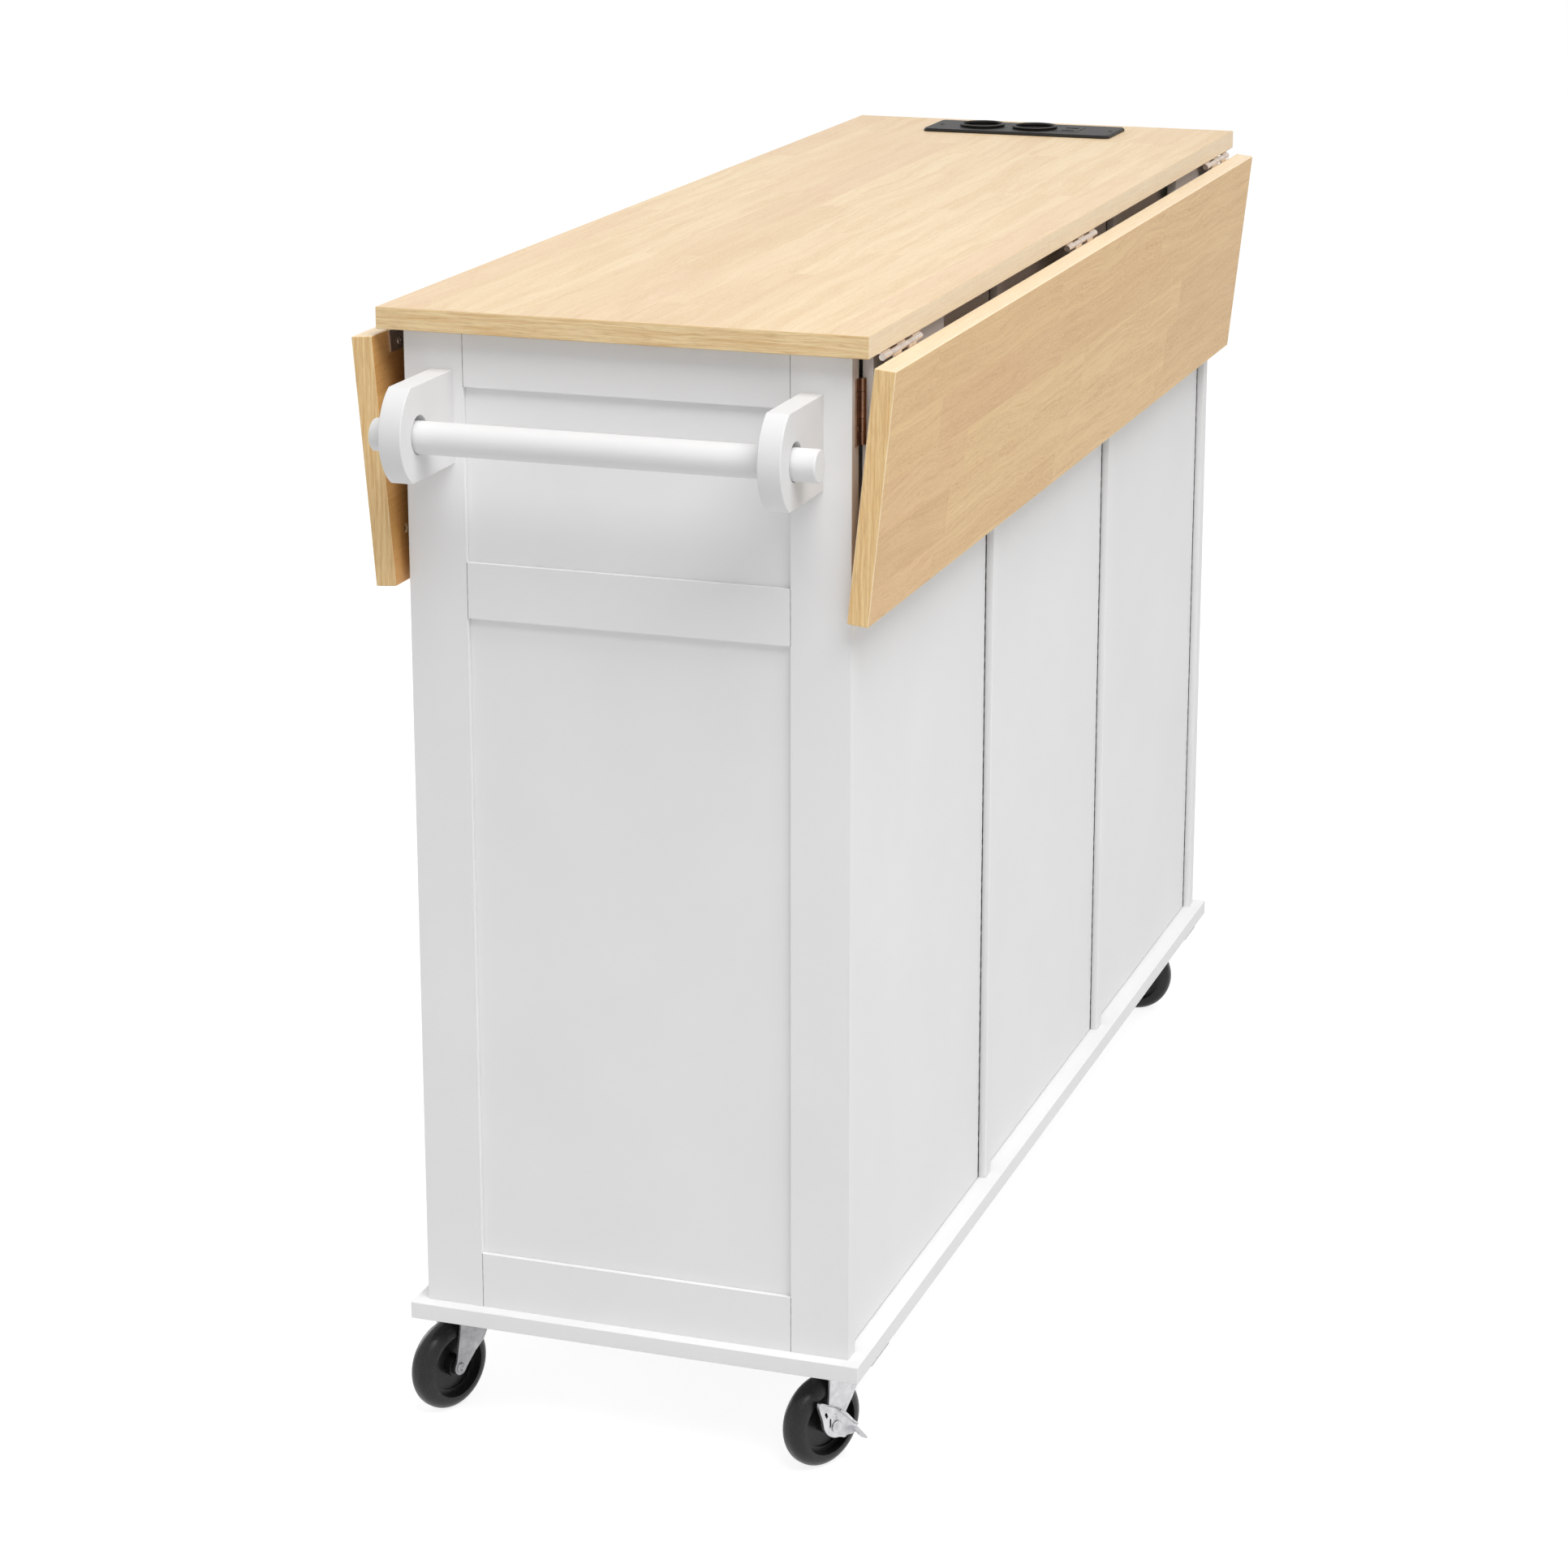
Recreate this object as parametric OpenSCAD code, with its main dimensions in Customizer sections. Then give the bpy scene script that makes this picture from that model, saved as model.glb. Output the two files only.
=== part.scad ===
// Drop leaf kitchen island on casters.
// X runs along the worktop with the towel rack at +X, +Y is the panelled back, +Z is up.
// The origin is on the floor, under the middle of the whole island.

/* [Worktop] */
// Length of the worktop and of both leaves
worktop_l = 1200; // [1100:10:1500]
// Width of the fixed worktop
worktop_w = 392; // [370:2:480]
// Thickness of the worktop board
worktop_t = 17; // [15:1:24]
// Height of the worktop above the floor
total_h = 919; // [860:1:960]

/* [Drop leaves] */
// Width of each leaf, from its hinge edge to its free edge
leaf_w = 195; // [150:5:200]
// Thickness of each leaf
leaf_t = 17; // [15:1:22]
// Gap between a raised leaf and the worktop
leaf_gap = 2.5; // [1.5:0.5:4]
// Angle at which the back leaf hangs, its free edge drawn in
back_leaf_tilt = 6; // [3:0.5:6]
// Angle at which the front leaf hangs, its free edge drawn in
front_leaf_tilt = 4.5; // [2:0.5:6]
// Diameter of the peg hole in the inner face of a leaf
peg_hole_d = 6; // [5:0.5:8]
// Depth of the peg hole
peg_hole_depth = 7; // [4:1:10]

/* [Body] */
// Overhang of the worktop past each end of the body
end_overhang = 13; // [10:1:24]
// Overhang of the worktop past the front and the back of the body
side_overhang = 17; // [17:1:24]
// Thickness of the stiles, rails, partitions and fixed shelves
board_t = 16; // [15:1:19]
// Thickness of the base board
base_t = 14; // [12:1:20]
// Overhang of the base board past the body all round
base_overhang = 11; // [6:1:20]
// Width of the end stiles
stile_w = 48; // [40:2:70]
// Height of the top rail of each end
top_rail_h = 43; // [30:1:60]
// Height of the middle rail of each end
mid_rail_h = 44; // [30:2:60]
// Height of the bottom rail of each end
bottom_rail_h = 46; // [30:2:70]
// Height of the open bays above the fixed shelves
bay_h = 194; // [180:2:200]
// Thickness of the end panels
end_panel_t = 9; // [6:1:9]
// Depth of an end panel behind the face of its frame
end_panel_recess = 4.5; // [2:0.5:6]
// Depth of the V groove where a rail meets a stile
joint_groove = 0.5; // [0.2:0.1:1]
// Depth to which the end panels sit in their grooves
groove_depth = 6; // [4:1:8]
// Thickness of the back panels
back_panel_t = 6; // [4:1:9]
// Depth of a back panel behind the edges of the partitions
back_panel_recess = 6.5; // [3:0.5:10]
// Dark gap left round each back panel
back_panel_gap = 1.2; // [0.5:0.1:2]
// Thickness of the adjustable shelves
loose_shelf_t = 15; // [12:1:18]
// Height of the adjustable shelves above the base board
loose_shelf_z = 290; // [150:10:400]
// Depth of the adjustable shelves
loose_shelf_depth = 300; // [240:10:310]
// Diameter of the shelf pins
shelf_pin_d = 5; // [4:0.5:6]

/* [Doors and drawers] */
// Thickness of the doors and drawer fronts
front_t = 16; // [14:1:18]
// Gap round the doors and drawer fronts
front_gap = 2.8; // [2.8:0.1:4]
// Width of the door stiles and rails
door_frame_w = 52; // [40:2:70]
// Thickness of the door panels
door_panel_t = 8; // [6:1:9]
// Depth of the drawer boxes
drawer_depth = 300; // [250:10:310]
// Height of the drawer box walls
drawer_wall_h = 140; // [100:5:155]
// Thickness of the drawer box walls
drawer_wall_t = 12; // [10:1:15]
// Thickness of the drawer bottoms
drawer_bottom_t = 5; // [3:1:6]
// Space between a drawer box and the partition beside it
runner_space = 12.5; // [12:0.5:15]
// Thickness of the runner steel
runner_t = 1.5; // [1:0.5:2]
// Diameter of the knobs
knob_d = 28; // [22:1:32]
// Height of the knobs above the face they are fixed to
knob_h = 24; // [20:1:30]

/* [Hinges] */
// Length of the leaf hinges
hinge_l = 94; // [80:2:110]
// Length of the support hinges
support_hinge_l = 50; // [40:2:70]
// Distance from the top of a support down to its hinge
support_hinge_drop = 16; // [2:1:28]
// Length of the door hinges
door_hinge_l = 64; // [50:2:80]
// Thickness of the hinge plates
hinge_t = 1.2; // [1:0.1:1.3]
// Radius of the hinge knuckles
knuckle_r = 2.6; // [2.5:0.1:2.7]
// Radius of the hinge pins
hinge_pin_r = 1.2; // [1:0.1:1.4]
// Height of the worktop underside above the pins of its hinges
leaf_pin_drop = 3.5; // [3.5:0.1:4]
// Distance from the end of the worktop to the outer hinges
hinge_inset = 30; // [24:1:60]
// Width of the hinge plates screwed to a leaf
leaf_plate_w = 20; // [16:1:26]

/* [Leaf supports] */
// Length of the fold-out supports
support_l = 180; // [150:5:190]
// Height of the fold-out supports
support_h = 99; // [96:1:100]
// Thickness of the fold-out supports
support_t = 8.5; // [6:0.5:8.5]
// Height of the free end of a support
support_tip_h = 46; // [30:2:60]
// Gap between a support and the underside of the worktop
support_drop = 3.5; // [3:0.5:5]

/* [Towel rack] */
// Reach of the brackets from the end of the body
rack_reach = 98; // [90:2:120]
// Height of the brackets
rack_h = 73; // [60:1:90]
// Thickness of the brackets
rack_t = 18; // [15:1:22]
// Distance from the worktop down to the top of the brackets
rack_drop = 47; // [35:1:80]
// Length of the straight top and bottom edges of a bracket
rack_straight = 77; // [70:1:84]
// Inset of the brackets from the front and back of the body
rack_inset = 22; // [14:1:28]
// Diameter of the towel rod
rod_d = 25; // [20:1:28]
// Length of the towel rod past each bracket
rod_past = 18.5; // [10:0.5:20]
// Diameter of the holes in which the rod lies
rod_hole_d = 29.4; // [29:0.2:34]
// Distance of the rod from the end of the body
rod_reach = 63.5; // [55:0.5:66]

/* [Socket unit] */
// Length of the socket plate
socket_plate_l = 192; // [180:2:200]
// Width of the socket plate
socket_plate_w = 71; // [66:1:78]
// Height of the socket plate above the worktop
socket_plate_h = 3.2; // [2.5:0.1:4]
// Depth of the rebate in the worktop that the socket plate sits in
socket_rebate = 1; // [0.5:0.1:2]
// Distance from the end of the worktop to the middle of the socket plate
socket_inset = 67.5; // [66:0.5:90]
// Outer diameter of the round sockets
well_d = 43; // [42:1:46]
// Height of the socket rims above their plate
well_rim = 3; // [1:0.5:4]
// Depth of the sockets below their rims
well_depth = 17.5; // [14:0.5:19]
// Distance between the two round sockets
well_spacing = 54.5; // [50:0.5:58]
// Depth of the housing below the worktop
housing_h = 38; // [30:1:60]

/* [Casters] */
// Height of the casters from the floor to the base board
caster_h = 90; // [88:1:98]
// Diameter of the wheels
wheel_d = 75; // [68:1:75]
// Width of the wheels
wheel_w = 22; // [20:0.5:24]
// Horizontal distance from a swivel axis to its wheel axle
caster_trail = 30; // [26:1:32]
// Distance of the swivel axes from the ends of the base board
caster_end_inset = 62.5; // [56:0.5:80]
// Distance of the swivel axes from the front and back edges of the base board
caster_side_inset = 28; // [28:0.5:34]
// Thickness of the steel of the caster forks
fork_t = 1.8; // [1.5:0.1:2.2]
// Radius of the wheel axles
axle_r = 3; // [2.5:0.1:3.2]
// Direction in which the right back wheel trails
right_back_turn = -27.5; // [-90:0.5:90]
// Direction in which the right front wheel trails
right_front_turn = -22; // [-90:0.5:90]
// Direction in which the left back wheel trails
left_back_turn = -88; // [-90:0.5:90]
// Direction in which the left front wheel trails
left_front_turn = -50; // [-90:0.5:90]

/* [Hidden] */
$fn = 64;

white = [0.93, 0.93, 0.92];
oak = [0.86, 0.72, 0.52];
nickel = [0.72, 0.70, 0.68];
zinc = [0.78, 0.78, 0.79];
black = [0.06, 0.06, 0.06];
wheel_black = [0.12, 0.12, 0.12];
birch = [0.87, 0.80, 0.68];

// Length by which a cutting shape passes the face it cuts
past = 1;
// Radial clearance of a pin that turns
pin_clear = 0.05;
// Clearance between faces that slide past each other
slide_clear = 0.3;

// Outer sizes of the body, which stands between the base board and the worktop
body_l = worktop_l - 2 * end_overhang;
// The worktop grows wider where deeper drawers or shelves need more room behind the doors
depth_clear = 2;
inner_depth = front_t + depth_clear + max(drawer_depth, loose_shelf_depth);
top_w = max(worktop_w, inner_depth + back_panel_t + back_panel_recess + 2 * side_overhang);
body_w = top_w - 2 * side_overhang;
body_z = caster_h + base_t;
body_top = total_h - worktop_t;
body_h = body_top - body_z;
half_l = body_l / 2;
half_w = body_w / 2;

// The towel rack reaches past one end, so the body sits this far from the origin
cabinet_x = -(half_l + rack_reach - worktop_l / 2) / 2;

// Inside of the body: three bays of one width between the ends and two partitions
inner_half_l = half_l - board_t;
bay_w = (2 * inner_half_l - 2 * board_t) / 3;
partition_x = bay_w / 2;
shelf_z = body_top - bay_h - board_t;
back_panel_y = half_w - back_panel_recess - back_panel_t;

// Openings between the rails of an end frame, as pairs of bottom and top
mid_rail_z = shelf_z + board_t / 2 - mid_rail_h / 2;
rail_span = body_w - 2 * stile_w;
panel_spans = [
    [body_z + bottom_rail_h, mid_rail_z],
    [mid_rail_z + mid_rail_h, body_top - top_rail_h]
];
rail_spans = [
    [body_z, body_z + bottom_rail_h],
    [mid_rail_z, mid_rail_z + mid_rail_h],
    [body_top - top_rail_h, body_top]
];
panel_x = half_l - end_panel_recess - end_panel_t;
groove_clear = 0.2;

// Pins of the adjustable shelves, as far from the edges of the body as the stiles allow
shelf_pin_y = half_w - stile_w / 2 - 6;
shelf_pin_ys = [-shelf_pin_y, shelf_pin_y];
pin_hole_depth = 8;
pin_reach = 10;
pin_z = body_z + loose_shelf_z - shelf_pin_d / 2 - 0.1;

// Doors and drawer fronts fill the lower part of the three bays
front_z = body_z + 2;
front_top = shelf_z - 2;
front_h = front_top - front_z;
door_w = bay_w - 2 * front_gap;
drawer_count = 3;
drawer_gap = 3;
drawer_front_h = (front_h - drawer_gap * (drawer_count - 1)) / drawer_count;
drawer_box_w = bay_w - 2 * runner_space;
drawer_rise = 14;
knob_edge = 30;
knob_drop = 120;
knob_z = front_top - knob_drop;
rail_flange_w = runner_space - runner_t - 1.5;
runner_h = 24;

// Butt hinges with an odd number of knuckles
knuckles = 5;
knuckle_gap = 0.3;
door_plate_w = 14;
door_hinge_end = 60;
door_pin_x = inner_half_l - hinge_t - 0.2;
door_pin_y = -half_w - knuckle_r - 0.1;
leaf_pin_y = top_w / 2 + 0.5;
leaf_pin_z = body_top - leaf_pin_drop;
leaf_edge = leaf_gap - 0.5;
hinge_screw_d = 3.6;
worktop_plate_w = side_overhang - 0.8;
support_pin_lift = 1.6;
support_pin_x = half_l - board_t - 1;
support_pin_y = half_w + hinge_t + support_pin_lift;
support_plate_w = 22;
fixed_support_plate_w = 10;
support_start = knuckle_r + 0.9;
support_top = body_top - support_drop;
leaf_hinge_xs = [
    hinge_inset - worktop_l / 2,
    -hinge_l / 2,
    worktop_l / 2 - hinge_inset - hinge_l
];
// Peg on top of a support, which meets the hole in the raised leaf
peg_r = peg_hole_d / 2 - 0.4;
peg_h = 2.5;
peg_at = support_l - 12;
// Distance from the pin of a leaf to the centre line of its peg holes
peg_hole_at = support_pin_y + support_start + peg_at - leaf_pin_y;
peg_hole_x = support_pin_x - support_pin_lift + support_t / 2;

// Towel rack
rack_top = total_h - rack_drop;
rack_hole_z = rack_top - rack_h / 2 - 1.5;
rod_z = rack_hole_z - rod_hole_d / 2 + rod_d / 2 + slide_clear;
rod_x = half_l + rod_reach;
rod_l = 2 * (half_w - rack_inset + rod_past);

// Socket unit, cut into the worktop near its left end
socket_x = socket_inset - worktop_l / 2;
socket_y = -3;
cutout_l = socket_plate_l - 12;
cutout_w = socket_plate_w - 12;
cutout_r = 3;
socket_plate_r = 6;
plate_step = 1;
well_ys = [socket_y - 43.5, socket_y - 43.5 + well_spacing];
usb_y = socket_y + 47.5;
usb_l = 23;
usb_w = 36;
well_wall = 2;
well_top = total_h + socket_plate_h + well_rim;
well_floor_t = 3;
fit_clear = 0.1;
contact_spacing = 19;
strip_slot_w = 5;
contact_hole_d = 5;
housing_wall = 3;
housing_roof = 10;
plate_screw_d = 3.4;
plate_screw_depth = 12;
plate_screw_ys = [socket_y - socket_plate_l / 2 + 10, socket_y + socket_plate_l / 2 - 7];
usb_h = 19.9;
usb_rise = 0.3;
usb_port_at = 8.5;
usb_port_w = 5.2;
usb_port_l = 13;
usb_tongue_w = 2;
usb_tongue_l = 10;
usb_floor_t = 8;

// Casters
pivot_x = half_l + base_overhang - caster_end_inset;
pivot_y = half_w + base_overhang - caster_side_inset;
wheel_r = wheel_d / 2;
caster_plate_w = 54;
caster_plate_t = 2.5;
caster_plate_r = 6;
caster_screw_at = 20.5;
caster_screw_r = 2.6;
kingpin_r = 5;
kingpin_head_r = 8;
kingpin_head_h = 2;
// The fork turns under a ball race, whose cup and ring overlap the plate and the fork
crown_r = 15;
race_r = 12.5;
race_h = 4;
race_w = 4;
crown_z = wheel_d + 1.3;
race_top = caster_h - caster_plate_t;
leg_inner = wheel_w / 2 + 1.2;
leg_outer = leg_inner + fork_t;
leg_top = crown_z + fork_t / 2 - wheel_r;
hub_r = 9;
rivet_head_r = 4.2;
rivet_head_h = 1.4;
// Radius of the rivet head that holds a brake
brake_head_r = 5;
// The brake is a shallow pan with its open side to the fork leg
brake_t = 1.4;
brake_h = 3.2;
brake_y = leg_outer + slide_clear;

// A board given by its lowest corner and its size
module board(corner, size) {
    translate(corner) cube(size);
}

// A flat rectangle with true round corners, centred on the origin
module round_rectangle(l, w, r) {
    square([l - 2 * r, w], center = true);
    square([l, w - 2 * r], center = true);
    for (x = [-1, 1], y = [-1, 1])
        translate([x * (l / 2 - r), y * (w / 2 - r)]) circle(r);
}

// One half of a butt hinge. The pin lies along +X from the origin and the plate reaches
// towards +Y, its near face at the height "lift". "first" is its first knuckle, 0 or 1.
module hinge_half(length, plate_w, lift, first, screws) {
    step = length / knuckles;
    reach = knuckle_r + slide_clear;
    difference() {
        union() {
            for (k = [first : 2 : knuckles - 1])
                translate([k * step + knuckle_gap / 2, 0, 0])
                    rotate([0, 90, 0]) cylinder(h = step - knuckle_gap, r = knuckle_r);
            difference() {
                board([0, 0, lift], [length, plate_w, hinge_t]);
                for (k = [1 - first : 2 : knuckles - 1])
                    board([k * step - knuckle_gap / 2, -past, lift - past],
                          [step + knuckle_gap, past + reach, hinge_t + 2 * past]);
            }
        }
        translate([-past, 0, 0]) rotate([0, 90, 0])
            cylinder(h = length + 2 * past, r = hinge_pin_r + pin_clear);
        for (k = [0 : screws - 1])
            translate([length * (k + 0.5) / screws, plate_w * 0.68, lift - past])
                cylinder(h = hinge_t + 2 * past, d = hinge_screw_d);
    }
}

module worktop() {
    color(oak)
        translate([cabinet_x, 0, 0]) difference() {
            board([-worktop_l / 2, -top_w / 2, body_top], [worktop_l, top_w, worktop_t]);
            translate([socket_x, socket_y, body_top - past]) linear_extrude(worktop_t + 2 * past)
                round_rectangle(cutout_w, cutout_l, cutout_r);
            translate([socket_x, socket_y, total_h - socket_rebate])
                linear_extrude(socket_rebate + past)
                    round_rectangle(socket_plate_w + 2 * fit_clear, socket_plate_l + 2 * fit_clear,
                                    socket_plate_r + fit_clear);
        }
}

module base_board() {
    color(white)
        translate([cabinet_x, 0, 0])
            board([-half_l - base_overhang, -half_w - base_overhang, caster_h],
                  [body_l + 2 * base_overhang, body_w + 2 * base_overhang, base_t]);
}

// Runs its children for one end of the body: side is 1 for +X and -1 for -X
module at_end(side) {
    translate([cabinet_x, 0, 0]) mirror([side < 0 ? 1 : 0, 0, 0]) children();
}

// Space that the end panels and their grooves take in the frame round them
module panel_grooves() {
    for (span = panel_spans)
        board([panel_x - groove_clear,
               -rail_span / 2 - groove_depth - groove_clear,
               span[0] - groove_depth - groove_clear],
              [end_panel_t + 2 * groove_clear,
               rail_span + 2 * (groove_depth + groove_clear),
               span[1] - span[0] + 2 * (groove_depth + groove_clear)]);
}

// Holes for the shelf pins, bored into the faces that look into the door bays
module pin_holes() {
    for (y = shelf_pin_ys, x = [inner_half_l, partition_x + board_t])
        translate([x - pin_hole_depth, y, pin_z]) rotate([0, 90, 0])
            cylinder(h = 2 * pin_hole_depth, d = shelf_pin_d + 2 * pin_clear);
}

// One half of a V groove: eases an edge along +Z through the origin, between a face towards +X
// and a face towards +Y
module eased_edge(length) {
    linear_extrude(length)
        polygon([[-joint_groove - past, past], [past, -joint_groove - past], [past, past]]);
}

module end_stiles(side) {
    color(white) at_end(side) difference() {
        for (y = [-half_w, half_w - stile_w])
            board([inner_half_l, y, body_z], [board_t, stile_w, body_h]);
        panel_grooves();
        pin_holes();
        for (y = [-1, 1], span = rail_spans) {
            low = span[0] - (span[0] == body_z ? past : 0);
            high = span[1] + (span[1] == body_top ? past : 0);
            translate([half_l, y * rail_span / 2, low]) mirror([0, y > 0 ? 1 : 0, 0])
                eased_edge(high - low);
        }
    }
}

module end_rails(side) {
    color(white) at_end(side) difference() {
        for (span = rail_spans)
            board([inner_half_l, -rail_span / 2, span[0]], [board_t, rail_span, span[1] - span[0]]);
        panel_grooves();
        for (y = [-1, 1]) translate([half_l, y * rail_span / 2, body_z - past])
            mirror([0, y < 0 ? 1 : 0, 0]) eased_edge(body_h + 2 * past);
    }
}

module end_panels(side) {
    color(white) at_end(side)
        for (span = panel_spans)
            board([panel_x, -rail_span / 2 - groove_depth, span[0] - groove_depth],
                  [end_panel_t, rail_span + 2 * groove_depth,
                   span[1] - span[0] + 2 * groove_depth]);
}

module partition(side) {
    color(white) at_end(side) difference() {
        board([partition_x, -half_w, body_z], [board_t, body_w, body_h]);
        pin_holes();
    }
}

// Left edges of the three bays
function bay_x(k) = -inner_half_l + k * (bay_w + board_t);

module back_panels() {
    color(white) translate([cabinet_x, 0, 0])
        for (k = [0 : 2])
            board([bay_x(k) + back_panel_gap / 2, back_panel_y, body_z + back_panel_gap],
                  [bay_w - back_panel_gap, back_panel_t, body_h - back_panel_gap]);
}

module fixed_shelves() {
    color(white) translate([cabinet_x, 0, 0])
        for (k = [0 : 2])
            board([bay_x(k), -half_w, shelf_z], [bay_w, half_w + back_panel_y, board_t]);
}

module adjustable_shelves() {
    color(white) translate([cabinet_x, 0, 0])
        for (k = [0, 2])
            board([bay_x(k) + 1, back_panel_y - 2 - loose_shelf_depth, body_z + loose_shelf_z],
                  [bay_w - 2, loose_shelf_depth, loose_shelf_t]);
}

module shelf_pins() {
    color(zinc)
        for (side = [-1, 1]) at_end(side)
            for (y = shelf_pin_ys) {
                translate([inner_half_l - pin_reach, y, pin_z]) rotate([0, 90, 0])
                    cylinder(h = pin_reach + pin_hole_depth - 0.5, d = shelf_pin_d);
                translate([partition_x + board_t - pin_hole_depth + 0.5, y, pin_z])
                    rotate([0, 90, 0])
                        cylinder(h = pin_reach + pin_hole_depth - 0.5, d = shelf_pin_d);
            }
}

// Height of the bottom of a drawer front, counted from the lowest drawer
function drawer_z(k) = front_z + k * (drawer_front_h + drawer_gap);
function ledge_z(k) = drawer_z(k) + drawer_rise + runner_t;

// Steel angles fixed to the partitions, on which the drawers run
module drawer_runners() {
    color(zinc) translate([cabinet_x, 0, 0])
        for (side = [-1, 1]) mirror([side < 0 ? 1 : 0, 0, 0])
            for (k = [0 : drawer_count - 1]) {
                rail_y = -half_w + front_t + 2;
                board([partition_x - runner_t, rail_y, ledge_z(k) - runner_t],
                      [runner_t, drawer_depth - 4, runner_h]);
                board([partition_x - rail_flange_w - runner_t, rail_y, ledge_z(k) - runner_t],
                      [rail_flange_w + runner_t, drawer_depth - 4, runner_t]);
            }
}

// An open box with a bottom let into its walls, and the rails that hang on the runners
module drawer_box(k) {
    z = drawer_z(k) + drawer_rise;
    half = drawer_box_w / 2;
    y = -half_w + front_t;
    translate([cabinet_x, 0, 0]) {
        color(birch) {
            for (x = [-half, half - drawer_wall_t])
                board([x, y, z], [drawer_wall_t, drawer_depth, drawer_wall_h]);
            for (wall_y = [y, y + drawer_depth - drawer_wall_t])
                board([-half + drawer_wall_t, wall_y, z],
                      [drawer_box_w - 2 * drawer_wall_t, drawer_wall_t, drawer_wall_h]);
            board([-half + drawer_wall_t, y + drawer_wall_t, z + drawer_wall_t / 2],
                  [drawer_box_w - 2 * drawer_wall_t, drawer_depth - 2 * drawer_wall_t,
                   drawer_bottom_t]);
        }
        color(zinc) for (side = [-1, 1]) mirror([side < 0 ? 1 : 0, 0, 0]) {
            board([half, y + 2, ledge_z(k) + slide_clear], [runner_t, drawer_depth - 4, runner_h]);
            board([half, y + 2, ledge_z(k) + slide_clear],
                  [rail_flange_w, drawer_depth - 4, runner_t]);
        }
    }
}

module drawer_front(k) {
    color(white) translate([cabinet_x, 0, 0])
        board([-door_w / 2, -half_w, drawer_z(k)], [door_w, front_t, drawer_front_h]);
}

// A turned knob that stands on the plane Y = 0 and points towards -Y
module knob() {
    neck_r = knob_d * 0.2;
    color(nickel) rotate([90, 0, 0]) rotate_extrude() {
        square([knob_d * 0.32, 2.5]);
        square([neck_r, knob_h - 4]);
        translate([0, knob_h - 11]) square([knob_d / 2 - 3, 11]);
        translate([0, knob_h - 8]) square([knob_d / 2, 5]);
        translate([knob_d / 2 - 3, knob_h - 3]) circle(3);
        translate([knob_d / 2 - 3, knob_h - 8]) circle(3);
    }
}

module drawer_knob(k) {
    translate([cabinet_x, -half_w, drawer_z(k) + drawer_front_h / 2]) knob();
}

// A framed door, drawn for the right bay and mirrored for the left one
module door_frame(side) {
    x = inner_half_l - front_gap - door_w;
    color(white) at_end(side) difference() {
        union() {
            for (stile_x = [x, x + door_w - door_frame_w])
                board([stile_x, -half_w, front_z], [door_frame_w, front_t, front_h]);
            for (rail_z = [front_z, front_top - door_frame_w])
                board([x + door_frame_w, -half_w, rail_z],
                      [door_w - 2 * door_frame_w, front_t, door_frame_w]);
        }
        door_panel_body(side, groove_clear);
    }
}

module door_panel_body(side, clear) {
    x = inner_half_l - front_gap - door_w;
    board([x + door_frame_w - groove_depth - clear,
           -half_w + (front_t - door_panel_t) / 2 - clear,
           front_z + door_frame_w - groove_depth - clear],
          [door_w - 2 * (door_frame_w - groove_depth - clear),
           door_panel_t + 2 * clear,
           front_h - 2 * (door_frame_w - groove_depth - clear)]);
}

module door_panel(side) {
    color(white) at_end(side) door_panel_body(side, 0);
}

module door_knob(side) {
    at_end(side)
        translate([inner_half_l - front_gap - door_w + knob_edge, -half_w, knob_z]) knob();
}

door_hinge_zs = [front_z + door_hinge_end, front_top - door_hinge_end - door_hinge_l];

// Stands a hinge half on its end at the edge of a door; face is 1 for the fixed half
module at_door_pin(face) {
    for (z = door_hinge_zs)
        translate([door_pin_x, door_pin_y, z])
            mirror([face < 0 ? 1 : 0, 0, 0])
                rotate([0, -90, 0]) mirror([0, 0, 1]) children();
}

module door_hinge_plates() {
    color(nickel)
        for (side = [-1, 1]) at_end(side)
            at_door_pin(1) hinge_half(door_hinge_l, door_plate_w, 0.2, 0, 2);
}

module door_hinges(side) {
    color(nickel) at_end(side)
        at_door_pin(-1) hinge_half(door_hinge_l, door_plate_w, 0.2, 1, 2);
}

// Runs its children once for the back leaf and once for the front leaf
module at_long_side(side) {
    translate([cabinet_x, 0, 0]) mirror([0, side < 0 ? 1 : 0, 0]) children();
}

// Turns what is drawn for a level leaf about its pin to the angle at which the leaf hangs
module hang_leaf(side) {
    tilt = side > 0 ? back_leaf_tilt : front_leaf_tilt;
    at_long_side(side) translate([0, leaf_pin_y, leaf_pin_z]) rotate([-90 - tilt, 0, 0])
        children();
}

module leaf(side) {
    color(oak) hang_leaf(side) difference() {
        board([-worktop_l / 2, leaf_edge, leaf_pin_drop], [worktop_l, leaf_w, leaf_t]);
        for (x = [-peg_hole_x, peg_hole_x])
            translate([x, peg_hole_at, leaf_pin_drop - past])
                cylinder(h = peg_hole_depth + past, d = peg_hole_d);
    }
}

module leaf_hinges(side) {
    color(nickel) hang_leaf(side)
        for (x = leaf_hinge_xs) translate([x, 0, 0])
            hinge_half(hinge_l, leaf_plate_w, leaf_pin_drop - hinge_t, 1, 3);
}

module leaf_hinge_plates() {
    color(nickel)
        for (side = [-1, 1]) at_long_side(side)
            for (x = leaf_hinge_xs) translate([x, leaf_pin_y, leaf_pin_z]) mirror([0, 1, 0])
                hinge_half(hinge_l, worktop_plate_w, leaf_pin_drop - hinge_t, 0, 3);
}

// Outline of a folded support seen from the back, its hinge at x = 0
module support_outline() {
    drop = support_h - support_tip_h;
    difference() {
        translate([-support_l, -support_h]) square([support_l, support_h]);
        translate([-support_l, -support_h]) circle(drop);
    }
}

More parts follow.
